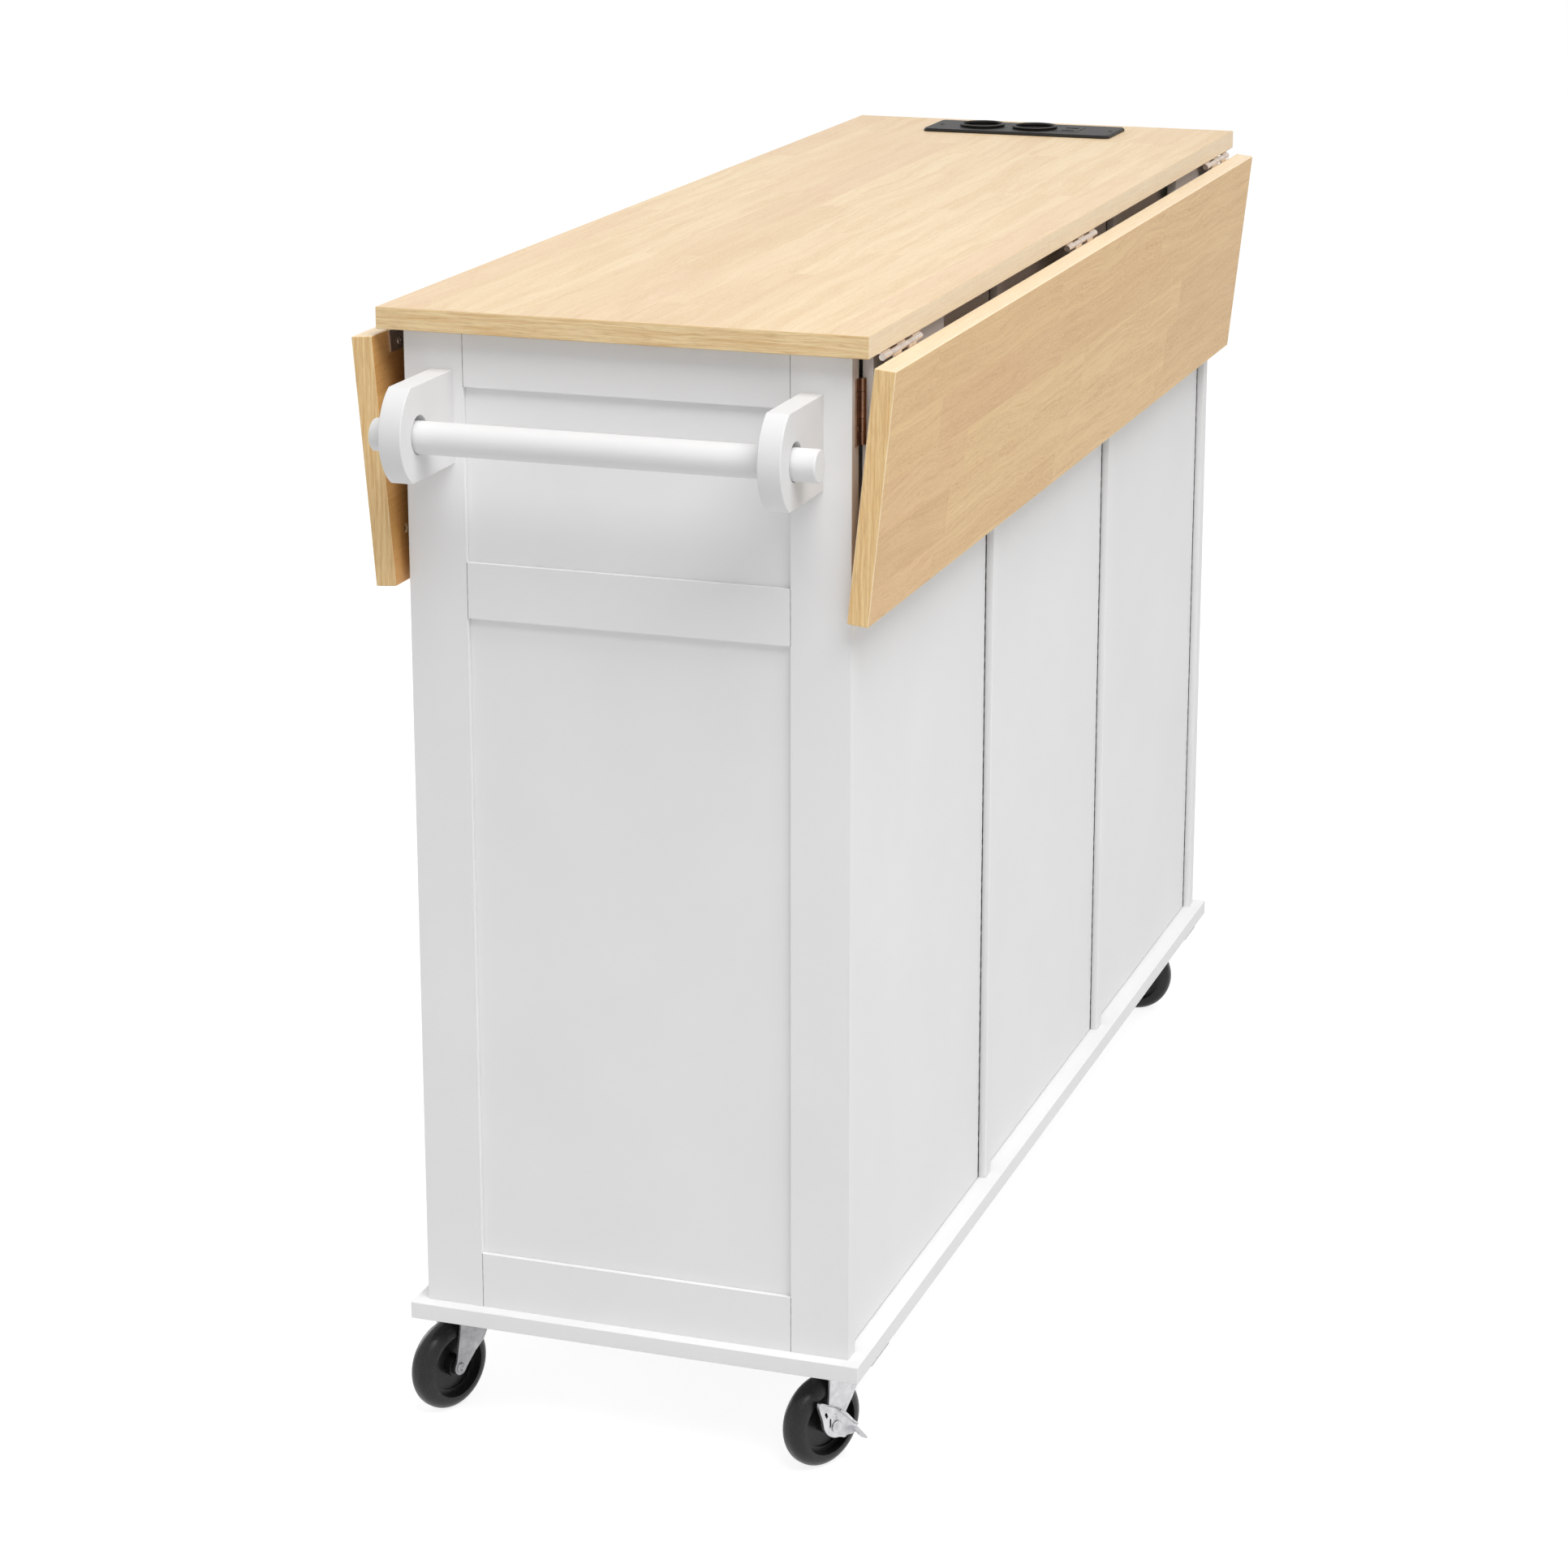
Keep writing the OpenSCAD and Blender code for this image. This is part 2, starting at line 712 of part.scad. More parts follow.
module supports(side) {
    color(white) at_long_side(side)
        for (end = [-1, 1]) mirror([end < 0 ? 1 : 0, 0, 0])
            translate([support_pin_x - support_start, half_w + hinge_t + support_t, support_top])
                rotate([90, 0, 0]) {
                    linear_extrude(support_t) support_outline();
                    translate([-peg_at, 0, support_t / 2]) rotate([-90, 0, 0])
                        cylinder(h = peg_h, r = peg_r);
                }
}

// Stands a hinge half on its end at a support; face is 1 for the half fixed to the body
module at_support_pin(side, end, face) {
    at_long_side(side) mirror([end < 0 ? 1 : 0, 0, 0])
        translate([support_pin_x, support_pin_y, support_top - support_hinge_drop])
            mirror([face < 0 ? 1 : 0, 0, 0])
                rotate([0, 90, 0]) rotate([90, 0, 0]) children();
}

module support_hinges() {
    color(nickel)
        for (side = [-1, 1], end = [-1, 1]) {
            at_support_pin(side, end, 1)
                hinge_half(support_hinge_l, fixed_support_plate_w, support_pin_lift, 0, 2);
            at_support_pin(side, end, -1)
                hinge_half(support_hinge_l, support_plate_w, support_pin_lift, 1, 2);
        }
}

// A hinge pin along +X
module pin(length) {
    rotate([0, 90, 0]) cylinder(h = length, r = hinge_pin_r);
}

module hinge_pins() {
    color(nickel) {
        for (side = [-1, 1]) at_long_side(side)
            for (x = leaf_hinge_xs) translate([x, leaf_pin_y, leaf_pin_z]) pin(hinge_l);
        for (side = [-1, 1], end = [-1, 1])
            at_support_pin(side, end, 1) pin(support_hinge_l);
        for (side = [-1, 1]) at_end(side) at_door_pin(1) pin(door_hinge_l);
    }
}

// Outline of a towel rack bracket: straight top and bottom and a broad curved front
module bracket_outline() {
    bulge = rack_reach - rack_straight;
    arc_r = (pow(rack_h / 2, 2) + bulge * bulge) / (2 * bulge);
    difference() {
        union() {
            translate([0, -rack_h / 2]) square([rack_straight, rack_h]);
            intersection() {
                translate([rack_reach - arc_r, 0]) circle(arc_r, $fn = 128);
                translate([0, -rack_h / 2]) square([rack_reach, rack_h]);
            }
        }
        translate([rod_reach, rack_hole_z - rack_top + rack_h / 2]) circle(d = rod_hole_d);
    }
}

module rack_bracket(side) {
    y = side > 0 ? half_w - rack_inset : -half_w + rack_inset + rack_t;
    color(white) translate([cabinet_x + half_l, y, rack_top - rack_h / 2])
        rotate([90, 0, 0]) linear_extrude(rack_t) bracket_outline();
}

module towel_rod() {
    color(white) translate([cabinet_x + rod_x, -rod_l / 2, rod_z]) rotate([-90, 0, 0])
        rotate_extrude() polygon([
            [0, 0], [rod_d / 2 - 1, 0], [rod_d / 2, 1],
            [rod_d / 2, rod_l - 1], [rod_d / 2 - 1, rod_l], [0, rod_l]
        ]);
}

// The flange and the box below it, hollow where the sockets and the charger sit
module socket_housing() {
    roof_z = body_top - housing_roof;
    color(black) translate([cabinet_x + socket_x, 0, 0]) difference() {
        union() {
            translate([0, socket_y, total_h - socket_rebate])
                linear_extrude(socket_rebate + socket_plate_h - plate_step)
                    round_rectangle(socket_plate_w, socket_plate_l, socket_plate_r);
            translate([0, socket_y, total_h - socket_rebate])
                linear_extrude(socket_rebate + socket_plate_h)
                    round_rectangle(socket_plate_w - 2 * plate_step,
                                    socket_plate_l - 2 * plate_step, socket_plate_r - plate_step);
            translate([0, socket_y, body_top - housing_h])
                linear_extrude(housing_h + worktop_t)
                    round_rectangle(cutout_w - 2 * fit_clear, cutout_l - 2 * fit_clear, cutout_r);
        }
        for (y = well_ys) translate([0, y, well_top - well_depth - well_floor_t])
            cylinder(h = well_depth + well_floor_t, d = well_d + 2 * fit_clear);
        board([-usb_w / 2 - fit_clear, usb_y - usb_l / 2 - fit_clear, total_h - usb_h - fit_clear],
              [usb_w + 2 * fit_clear, usb_l + 2 * fit_clear, usb_h + socket_plate_h + past]);
        for (y = plate_screw_ys) translate([0, y, total_h - plate_screw_depth])
            cylinder(h = plate_screw_depth + socket_plate_h + past, d = plate_screw_d);
        translate([0, socket_y, body_top - housing_h - past])
            linear_extrude(roof_z - body_top + housing_h + past)
                round_rectangle(cutout_w - 2 * housing_wall, cutout_l - 2 * housing_wall, cutout_r);
    }
}

// Two round cups with a raised rim and two contact holes each
module socket_wells() {
    color(black) translate([cabinet_x + socket_x, 0, 0])
        for (y = well_ys) translate([0, y, well_top - well_depth - well_floor_t]) difference() {
            cylinder(h = well_depth + well_floor_t, d = well_d);
            translate([0, 0, well_floor_t])
                cylinder(h = well_depth + past, d = well_d - 2 * well_wall);
            for (x = [-0.5, 0.5]) translate([x * contact_spacing, 0, -past])
                cylinder(h = well_floor_t + 2 * past, d = contact_hole_d);
            for (end = [-1, 1])
                board([-strip_slot_w / 2, end * well_d / 2 - strip_slot_w / 2, -past],
                      [strip_slot_w, strip_slot_w, well_depth + well_floor_t + 2 * past]);
        }
}

// Springy earth strips in slots at two sides of each socket
module socket_contacts() {
    strip_t = 0.8;
    strip_w = strip_slot_w - 1;
    strip_y = well_d / 2 - well_wall + strip_t / 2 + fit_clear;
    color(nickel) translate([cabinet_x + socket_x, 0, 0])
        for (y = well_ys, end = [-1, 1])
            board([-strip_w / 2, y + end * strip_y - strip_t / 2,
                   well_top - well_depth - well_floor_t],
                  [strip_w, strip_t, well_depth - 1]);
}

// Charger block with two slots, each with a tongue on its floor
module usb_module() {
    color(black) translate([cabinet_x + socket_x, usb_y, total_h - usb_h]) {
        difference() {
            board([-usb_w / 2, -usb_l / 2, 0], [usb_w, usb_l, usb_h + socket_plate_h + usb_rise]);
            for (x = [-usb_port_at, usb_port_at])
                board([x - usb_port_w / 2, -usb_port_l / 2, usb_floor_t],
                      [usb_port_w, usb_port_l, usb_h + socket_plate_h]);
        }
        for (x = [-usb_port_at, usb_port_at])
            board([x - usb_tongue_w / 2, -usb_tongue_l / 2, 0],
                  [usb_tongue_w, usb_tongue_l, usb_h]);
    }
}

// Places its children on the swivel axis of one caster, +X along the trail of its wheel
module at_caster(end, side) {
    turn = end > 0 ? (side > 0 ? right_back_turn : right_front_turn)
                   : (side > 0 ? left_back_turn : left_front_turn);
    translate([cabinet_x + end * pivot_x, side * pivot_y, 0]) rotate([0, 0, turn]) children();
}

// Places its children on the wheel axle of one caster
module at_axle(end, side) {
    at_caster(end, side) translate([caster_trail, 0, wheel_r]) children();
}

// Top plates with a dished ball race and the rivet on which the forks turn
module caster_plates() {
    cup_z = crown_z + fork_t + race_h;
    color(zinc)
        for (end = [-1, 1], side = [-1, 1])
            translate([cabinet_x + end * pivot_x, side * pivot_y, 0]) {
                translate([0, 0, race_top]) linear_extrude(caster_plate_t) difference() {
                    round_rectangle(caster_plate_w, caster_plate_w, caster_plate_r);
                    for (x = [-1, 1], y = [-1, 1])
                        translate([x * caster_screw_at, y * caster_screw_at]) circle(caster_screw_r);
                }
                rotate_extrude() {
                    translate([0, cup_z]) square([race_r, race_top - cup_z]);
                    translate([0, crown_z - slide_clear - kingpin_head_h])
                        square([kingpin_r, race_top - crown_z]);
                    translate([0, crown_z - slide_clear - kingpin_head_h])
                        square([kingpin_head_r, kingpin_head_h]);
                }
            }
}

// The flat front part of a plain fork leg, its axle at the origin, up to an upright crease
module creased_leg() {
    tip_r = 6.3;
    polygon([
        [-1.6, leg_top], [-1.6, 38], [4.5, 3.4], [0, 0], [-5.4, -2.8], [-8, 0], [-16.2, 8.2],
        [-16.2, leg_top]
    ]);
    circle(tip_r);
}

// The rear part of a plain leg, which flares outward behind the crease
module leg_wing() {
    polygon([[0.4, leg_top], [0.4, 8], [-8.7, 17], [-12.3, 24.1], [-13.2, leg_top]]);
}

// A leg of a braked fork, flat all over. Its front edge stands at x = front.
module flat_leg(front) {
    tip_r = 6.5;
    polygon([
        [front, leg_top], [front, 38], [front + 1.2, 19.9], [5.6, 1], [0, 0], [-5.2, -3.4],
        [-14.4, 8.1], [-21.4, 18], [-28.1, 29.1], [-30.8, 33.2], [-31.7, leg_top]
    ]);
    circle(tip_r);
}

// A swivelling fork with the wheel's axle riveted through its legs
module fork(end, side, braked) {
    crease_x = -16.2;
    front = braked ? 3.8 : -1.6;
    wing_flare = -12;
    color(zinc) at_caster(end, side) {
        difference() {
            union() {
                rotate_extrude()
                    square_ring(crown_r - race_w, crown_r, crown_z, fork_t + race_h - slide_clear);
                translate([caster_trail, 0, wheel_r])
                    for (face = [-1, 1]) {
                        translate([0, face > 0 ? leg_outer : -leg_inner, 0])
                            rotate([90, 0, 0]) linear_extrude(fork_t)
                                if (braked) flat_leg(face > 0 ? front : -3); else creased_leg();
                        if (!braked)
                            translate([crease_x, face * (leg_inner + fork_t / 2), 0])
                                rotate([0, 0, face * wing_flare]) translate([0, fork_t / 2, 0])
                                    rotate([90, 0, 0]) linear_extrude(fork_t) leg_wing();
                    }
                translate([0, 0, crown_z]) cylinder(h = fork_t, r = crown_r + 1);
                translate([0, -leg_outer, crown_z])
                    cube([caster_trail, 2 * leg_outer, fork_t]);
                translate([0, 0, crown_z]) cube([caster_trail + front, leg_outer, fork_t]);
            }
            translate([0, 0, crown_z - past])
                cylinder(h = fork_t + 2 * past, r = kingpin_r + pin_clear);
            translate([caster_trail, 0, wheel_r]) rotate([90, 0, 0])
                cylinder(h = 4 * leg_inner, r = axle_r + pin_clear, center = true);
        }
        translate([caster_trail, 0, wheel_r]) axle(braked);
    }
}

// A ring section for rotate_extrude, from r0 to r1 and from z up by h
module square_ring(r0, r1, z, h) {
    translate([r0, z]) square([r1 - r0, h]);
}

// One end of the axle's section at height z: a head of radius r, with a rolled edge round a dent
// that is "dent" deep
function rivet_end(z, r, dent) = [
    [0, z + rivet_head_h - dent], [r * 0.45, z + rivet_head_h - dent],
    [r * 0.6, z + rivet_head_h], [r * 0.85, z + rivet_head_h],
    [r, z + rivet_head_h * 0.6], [r, z], [axle_r, z]
];

// A rivet through the fork legs. Where it carries a brake, it is longer and has a broad head.
module axle(braked) {
    free_end = rivet_end(leg_outer, rivet_head_r, 0.9);
    other_end = braked ? rivet_end(leg_outer + brake_h + 2 * slide_clear, brake_head_r, 0.3)
                       : free_end;
    rotate([90, 0, 0]) rotate_extrude() polygon(concat(
        free_end, [for (i = [len(other_end) - 1 : -1 : 0]) [other_end[i][0], -other_end[i][1]]]
    ));
}

// A solid wheel: rounded tread, dished sides, a stepped web and a hub on the axle
module wheel(end, side) {
    half = wheel_w / 2;
    tread_r = half - 1;
    recess_r = wheel_r - 11.2;
    step_w = 5;
    web_depth = 8;
    step_depth = 6.5;
    hub_half = leg_inner - 0.4;
    color(wheel_black) at_axle(end, side)
        rotate([90, 0, 0]) rotate_extrude($fn = 96) {
            difference() {
                union() {
                    translate([recess_r, -half])
                        square([wheel_r - tread_r - recess_r, wheel_w]);
                    translate([wheel_r - tread_r, tread_r - half])
                        square([tread_r, wheel_w - 2 * tread_r]);
                    for (y = [tread_r - half, half - tread_r])
                        translate([wheel_r - tread_r, y]) circle(tread_r);
                }
                translate([0, -half - past]) square([recess_r, wheel_w + 2 * past]);
            }
            translate([hub_r - 1, web_depth - half])
                square([recess_r - hub_r + 2, wheel_w - 2 * web_depth]);
            translate([recess_r - step_w, step_depth - half])
                square([step_w + 1, wheel_w - 2 * step_depth]);
            translate([axle_r + pin_clear, -hub_half])
                square([hub_r - axle_r - 2, 2 * hub_half]);
            translate([axle_r + pin_clear, past - half])
                square([hub_r - axle_r - pin_clear, wheel_w - 2 * past]);
        }
}

// Cuts every corner of a closed outline, which rounds it a little more each time
function rounder(p) = [
    for (i = [0 : len(p) - 1])
        each [p[i] * 0.75 + p[(i + 1) % len(p)] * 0.25, p[i] * 0.25 + p[(i + 1) % len(p)] * 0.75]
];

brake_outline = [
    [17.6, 25.8], [19, 22.2], [17.9, 17.6], [14.4, 8.6], [13.3, 1], [9.2, -5.4], [2.2, -9.6],
    [-4.1, -10.4], [-9.6, -13.4], [-12.3, -11.4], [-18.6, -12.9], [-23, -11.5], [-24, -6],
    [-9.4, 10.9], [-2.2, 14.7], [7.4, 20.1]
];
brake_floor = [
    [16, 23.2], [16.9, 21.6], [16, 18], [12.7, 9.2], [11.8, 1.9], [8.2, -4.2], [1.8, -8],
    [-4.4, -8.8], [-9.5, -11.6], [-12.4, -9.8], [-18.4, -11.2], [-21.6, -10.2], [-22, -6.4],
    [-8.6, 9.4], [-1.6, 13], [7.6, 18.3]
];

// A stamped side brake that rocks on the axle, with a foot wing bent outward
module brake(end, side) {
    wing_l = 27;
    wing_turn = -43.2;
    pedal_l = 13;
    pedal_w = 16;
    color(zinc) at_axle(end, side)
        translate([0, brake_y, 0]) difference() {
            union() {
                translate([0, brake_h, 0]) rotate([90, 0, 0]) difference() {
                    linear_extrude(brake_h) polygon(rounder(rounder(brake_outline)));
                    translate([0, 0, brake_t]) linear_extrude(brake_h)
                        polygon(rounder(rounder(brake_floor)));
                    // A slot and an oval hole in front of the axle
                    translate([6.5, 4.5, -past]) linear_extrude(2 * past + brake_t)
                        round_rectangle(1.7, 7.6, 0.8);
                    translate([10.9, 12.6, -past]) rotate([0, 0, -25])
                        linear_extrude(2 * past + brake_t) round_rectangle(2.4, 5.2, 1.15);
                }
                // A small raised ring above the axle
                translate([1.2, brake_h - past, 8.3]) rotate([-90, 0, 0]) difference() {
                    cylinder(h = past + 0.6, r = 2.6);
                    translate([0, 0, past]) cylinder(h = past, r = 1.3);
                }
                translate([-2.6, 0, 14.4]) rotate([0, wing_turn, 0])
                    translate([-wing_l, 0, -brake_t]) cube([wing_l, brake_h + 3, brake_t]);
                translate([-17, 0, -3.2]) rotate([-25, 0, 0]) rotate([0, -34, 0])
                    translate([-pedal_l / 2, pedal_w / 2, -brake_t])
                        linear_extrude(brake_t) round_rectangle(pedal_l, pedal_w, 2.5);
            }
            rotate([90, 0, 0]) cylinder(h = 40, r = axle_r + pin_clear, center = true);
            // Nothing reaches past the open side of the pan towards the leg
            board([-40, -20, -40], [80, 20, 80]);
        }
}

worktop();
base_board();
end_stiles(1);  // right_stiles
end_rails(1);  // right_rails
end_panels(1);  // right_panels
end_stiles(-1);  // left_stiles
end_rails(-1);  // left_rails
end_panels(-1);  // left_panels
partition(1);  // right_partition
partition(-1);  // left_partition
back_panels();
fixed_shelves();
adjustable_shelves();
shelf_pins();
drawer_runners();
rack_bracket(1);  // back_rack_bracket
rack_bracket(-1);  // front_rack_bracket
towel_rod();
socket_housing();
socket_wells();
usb_module();
socket_contacts();
caster_plates();
supports(1);  // back_supports
supports(-1);  // front_supports
support_hinges();
leaf_hinge_plates();
door_hinge_plates();
hinge_pins();
leaf(1);  // back_leaf
leaf_hinges(1);  // back_leaf_hinges
leaf(-1);  // front_leaf
leaf_hinges(-1);  // front_leaf_hinges
door_frame(1);  // right_door_frame
door_panel(1);  // right_door_panel
door_knob(1);  // right_door_knob
door_hinges(1);  // right_door_hinges
door_frame(-1);  // left_door_frame
door_panel(-1);  // left_door_panel
door_knob(-1);  // left_door_knob
door_hinges(-1);  // left_door_hinges
drawer_box(0);  // drawer_1_box
drawer_front(0);  // drawer_1_front
drawer_knob(0);  // drawer_1_knob
drawer_box(1);  // drawer_2_box
drawer_front(1);  // drawer_2_front
drawer_knob(1);  // drawer_2_knob
drawer_box(2);  // drawer_3_box
drawer_front(2);  // drawer_3_front
drawer_knob(2);  // drawer_3_knob
fork(1, -1, false);  // right_front_fork
fork(1, 1, true);  // right_back_fork
fork(-1, -1, true);  // left_front_fork
fork(-1, 1, false);  // left_back_fork
wheel(1, -1);  // right_front_wheel
wheel(1, 1);  // right_back_wheel
wheel(-1, -1);  // left_front_wheel
wheel(-1, 1);  // left_back_wheel
brake(1, 1);  // right_back_brake
brake(-1, -1);  // left_front_brake
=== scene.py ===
import math

import bmesh
import bpy
from mathutils import Matrix, Vector

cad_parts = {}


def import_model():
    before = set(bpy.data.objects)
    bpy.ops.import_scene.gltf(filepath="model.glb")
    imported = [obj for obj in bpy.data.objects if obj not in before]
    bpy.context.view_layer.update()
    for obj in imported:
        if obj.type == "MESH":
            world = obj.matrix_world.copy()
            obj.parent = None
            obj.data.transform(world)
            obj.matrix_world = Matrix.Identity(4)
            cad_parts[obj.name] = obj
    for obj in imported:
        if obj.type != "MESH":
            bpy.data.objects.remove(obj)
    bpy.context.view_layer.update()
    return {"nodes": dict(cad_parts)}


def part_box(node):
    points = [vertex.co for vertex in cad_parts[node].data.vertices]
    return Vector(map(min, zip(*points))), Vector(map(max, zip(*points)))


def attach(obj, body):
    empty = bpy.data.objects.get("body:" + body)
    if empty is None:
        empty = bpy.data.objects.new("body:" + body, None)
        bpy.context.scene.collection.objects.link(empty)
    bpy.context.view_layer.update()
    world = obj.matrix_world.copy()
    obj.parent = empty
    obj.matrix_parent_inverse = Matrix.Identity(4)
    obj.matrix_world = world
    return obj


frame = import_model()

nodes = frame["nodes"]
MM = 0.001
# Middle of the cabinet along X, in millimetres
CABINET_X = -42.5


# ---------------------------------------------------------------- shader helpers

def linear(*rgb):
    """An sRGB colour from 0 to 255 as a linear colour."""
    return tuple((c / 255 / 12.92) if c / 255 <= 0.04045 else ((c / 255 + 0.055) / 1.055) ** 2.4
                 for c in rgb) + (1.0,)


def put(tree, socket, value):
    """Link a socket to another, or give it a value."""
    if isinstance(value, bpy.types.NodeSocket):
        tree.links.new(value, socket)
    else:
        socket.default_value = value


def add_node(tree, kind, ins=(), **props):
    """A new node with its properties set, and its inputs by number or name."""
    n = tree.nodes.new(kind)
    for key, value in props.items():
        setattr(n, key, value)
    for key, value in dict(ins).items():
        put(tree, n.inputs[key], value)
    return n


class Tree:
    """A short way to write a material's nodes."""

    def __init__(self, name):
        self.material = bpy.data.materials.new(name)
        self.material.use_nodes = True
        self.tree = self.material.node_tree
        self.shader = self.tree.nodes["Principled BSDF"]

    def add(self, kind, ins=(), **props):
        return add_node(self.tree, "ShaderNode" + kind, ins, **props)

    def math(self, op, a, b=0.0):
        return self.add("Math", {0: a, 1: b}, operation=op).outputs[0]

    def mix(self, fac, a, b, blend="MIX"):
        return self.add("MixRGB", {"Fac": fac, "Color1": a, "Color2": b},
                        blend_type=blend).outputs[0]

    def vector(self, x, y, z):
        return self.add("CombineXYZ", {0: x, 1: y, 2: z}).outputs[0]

    def noise(self, vector, scale, detail, rough=0.5):
        return self.add("TexNoise", {"Vector": vector, "Scale": scale, "Detail": detail,
                                     "Roughness": rough}).outputs[0]

    def stretched(self, x, y, z, scales, detail, rough=0.5):
        """Noise of x, y and z, each first multiplied by its own scale. None leaves one as it is."""
        scaled = [v if k is None else self.math("MULTIPLY", v, k)
                  for v, k in zip((x, y, z), scales)]
        return self.noise(self.vector(*scaled), 1.0, detail, rough)

    def span(self, value, low, high, to_low=0.0, to_high=1.0, kind="LINEAR"):
        return self.add("MapRange", {0: value, 1: low, 2: high, 3: to_low, 4: to_high},
                        interpolation_type=kind, clamp=True).outputs[0]

    def random(self, vector):
        return self.add("TexWhiteNoise", {"Vector": vector}, noise_dimensions="3D").outputs[0]

    def place(self):
        return self.add("TexCoord").outputs

    def split(self, vector):
        return self.add("SeparateXYZ", {0: vector}).outputs

    def bump(self, height, distance, strength):
        return self.add("Bump", {"Height": height, "Distance": distance,
                                 "Strength": strength}).outputs[0]

    def finish(self, **values):
        """Set the shader's sockets, named with _ for each space, and give the material."""
        for key, value in values.items():
            put(self.tree, self.shader.inputs[key.replace("_", " ")], value)
        return self.material


# ---------------------------------------------------------------- materials

# One stave of the printed oak, in metres
STAVE_W = 0.0405
STAVE_L = 0.36
# How far the ends of the staves can move from one row to the next, in staves
STAVE_SHIFT = 5.3
# A face looks along an axis, or is the board's other side, if its normal has more than this of it
ALONG_AXIS, ON_BACK = 0.6, 0.8
# Depth of the wood's pores and of the grain of lacquer and metal, in metres
PORE_DEPTH, FINE_DEPTH = 0.00003, 0.00004

OAK = {
    "light": linear(234, 212, 172), "body": linear(226, 199, 155), "brown": linear(204, 167, 118),
    "pink": linear(224, 192, 155), "dash": linear(160, 118, 76), "stroke": linear(245, 229, 194),
    "strip": linear(243, 218, 170), "strip_dark": linear(222, 184, 130),
    # edge is a painted sheen, laid over the long edges
    "edge": linear(237, 218, 190),
}


def oak_laminate(name, across, deep, back, tint_and_shade, corner_line_and_highlight, reverse, contrast=1.0):
    """A laminate printed with oak staves that run along X, with banded edges. across and deep are
    the axes across the staves and through the board. The print is multiplied by the tint, and also
    by reverse on the board's other side, whose sign along deep is back. On the leaves the tint and
    reverse are painted shade: they make the leaves darker and more orange than the top, which is
    the same laminate; on the top they are a light tint and a pale backing. The corners take the
    colour
    given for them: a dark seam line on the top, a painted pale highlight on the leaves. contrast
    makes the print's brown parts stronger."""
    t = Tree(name)
    out = t.place()
    p, n = t.split(out["Object"]), t.split(out["Normal"])
    x, v, w = p[0], p[across], p[deep]
    is_end = t.math("GREATER_THAN", t.math("ABSOLUTE", n[0]), ALONG_AXIS)
    is_edge = t.math("GREATER_THAN", t.math("ABSOLUTE", n[across]), ALONG_AXIS)
    banded = t.math("MAXIMUM", is_end, is_edge)
    is_back = t.math("GREATER_THAN", t.math("MULTIPLY", n[deep], back), ON_BACK)

    # Staves: rows across the board, cut to blocks along it
    row = t.math("FLOOR", t.math("DIVIDE", v, STAVE_W))
    shift = t.random(t.vector(row, 7.0, 3.0))
    along = t.math("ADD", t.math("DIVIDE", x, STAVE_L), t.math("MULTIPLY", shift, STAVE_SHIFT))
    block = t.math("FLOOR", along)
    tone = t.random(t.vector(row, block, 1.0))
    figure = t.random(t.vector(row, block, 9.0))
    seed = t.math("MULTIPLY", tone, 37.0)

    # The grain follows a slow wave with a smaller one on it. Scales are in waves per metre.
    wave = t.stretched(x, v, seed, (5.0, 14.0, None), 2.0)
    swirl = t.stretched(x, v, seed, (26.0, 60.0, None), 2.0)
    bent = t.math("ADD", v, t.math("MULTIPLY", wave, 0.030))
    bent = t.math("ADD", bent, t.math("MULTIPLY", swirl, 0.003))

    rings = t.stretched(x, bent, seed, (3.0, 80.0, None), 4.0, 0.62)
    streak = t.stretched(x, bent, seed, (12.0, 380.0, None), 4.0, 0.66)
    dash = t.stretched(x, bent, seed, (150.0, 2200.0, None), 2.0, 0.6)
    stroke = t.stretched(x, bent, seed, (20.0, 800.0, None), 3.0, 0.6)
    cloud = t.stretched(x, v, seed, (9.0, 24.0, None), 2.0)

    # The print: each line lays one colour over the ones before, by a share from 0 to 1
    colour = t.mix(t.span(rings, 0.34, 0.66, kind="SMOOTHSTEP"), OAK["light"], OAK["body"])
    for share, paint in (
            (t.math("MULTIPLY", t.span(tone, 0.45, 1.0), 0.26 * contrast), "brown"),
            (t.math("MULTIPLY", t.span(figure, 0.4, 1.0), 0.6), "pink"),
            (t.math("MULTIPLY", t.span(cloud, 0.5, 0.8), 0.5), "light"),
            (t.math("MULTIPLY", t.span(streak, 0.46, 0.78), 0.36 * contrast), "brown"),
            (t.math("MULTIPLY", t.span(stroke, 0.56, 0.8), 0.5), "stroke"),
            (t.math("MULTIPLY", t.span(dash, 0.52, 0.76),
                    t.span(rings, 0.36, 0.64, 0.06, 0.3 * contrast)), "dash")):
        colour = t.mix(share, colour, OAK[paint])

    # Edge band: streaks along the edge that wander a little, with short dark dashes
    run = t.math("ADD", t.math("MULTIPLY", x, t.math("SUBTRACT", 1.0, is_end)),
                 t.math("MULTIPLY", v, is_end))
    wander = t.noise(t.vector(t.math("MULTIPLY", run, 14.0), t.math("MULTIPLY", w, 50.0), 4.0),
                     1.0, 2.0)
    thick = t.math("ADD", w, t.math("MULTIPLY", wander, 0.006))

    def banding(long_scale, cross_scale, detail):
        return t.noise(t.vector(t.math("MULTIPLY", run, long_scale),
                                t.math("MULTIPLY", thick, cross_scale), 6.0), 1.0, detail, 0.6)

    strip = t.mix(t.span(banding(16.0, 460.0, 5.0), 0.38, 0.66), OAK["strip"], OAK["strip_dark"])
    strip = t.mix(t.math("MULTIPLY", t.span(banding(70.0, 1500.0, 3.0), 0.5, 0.72), 0.42), strip,
                  OAK["dash"])
    # The long edges are painted paler: a painted sheen of the light they catch
    strip = t.mix(t.math("MULTIPLY", is_edge, 0.65), strip, OAK["edge"])
    colour = t.mix(banded, colour, strip)

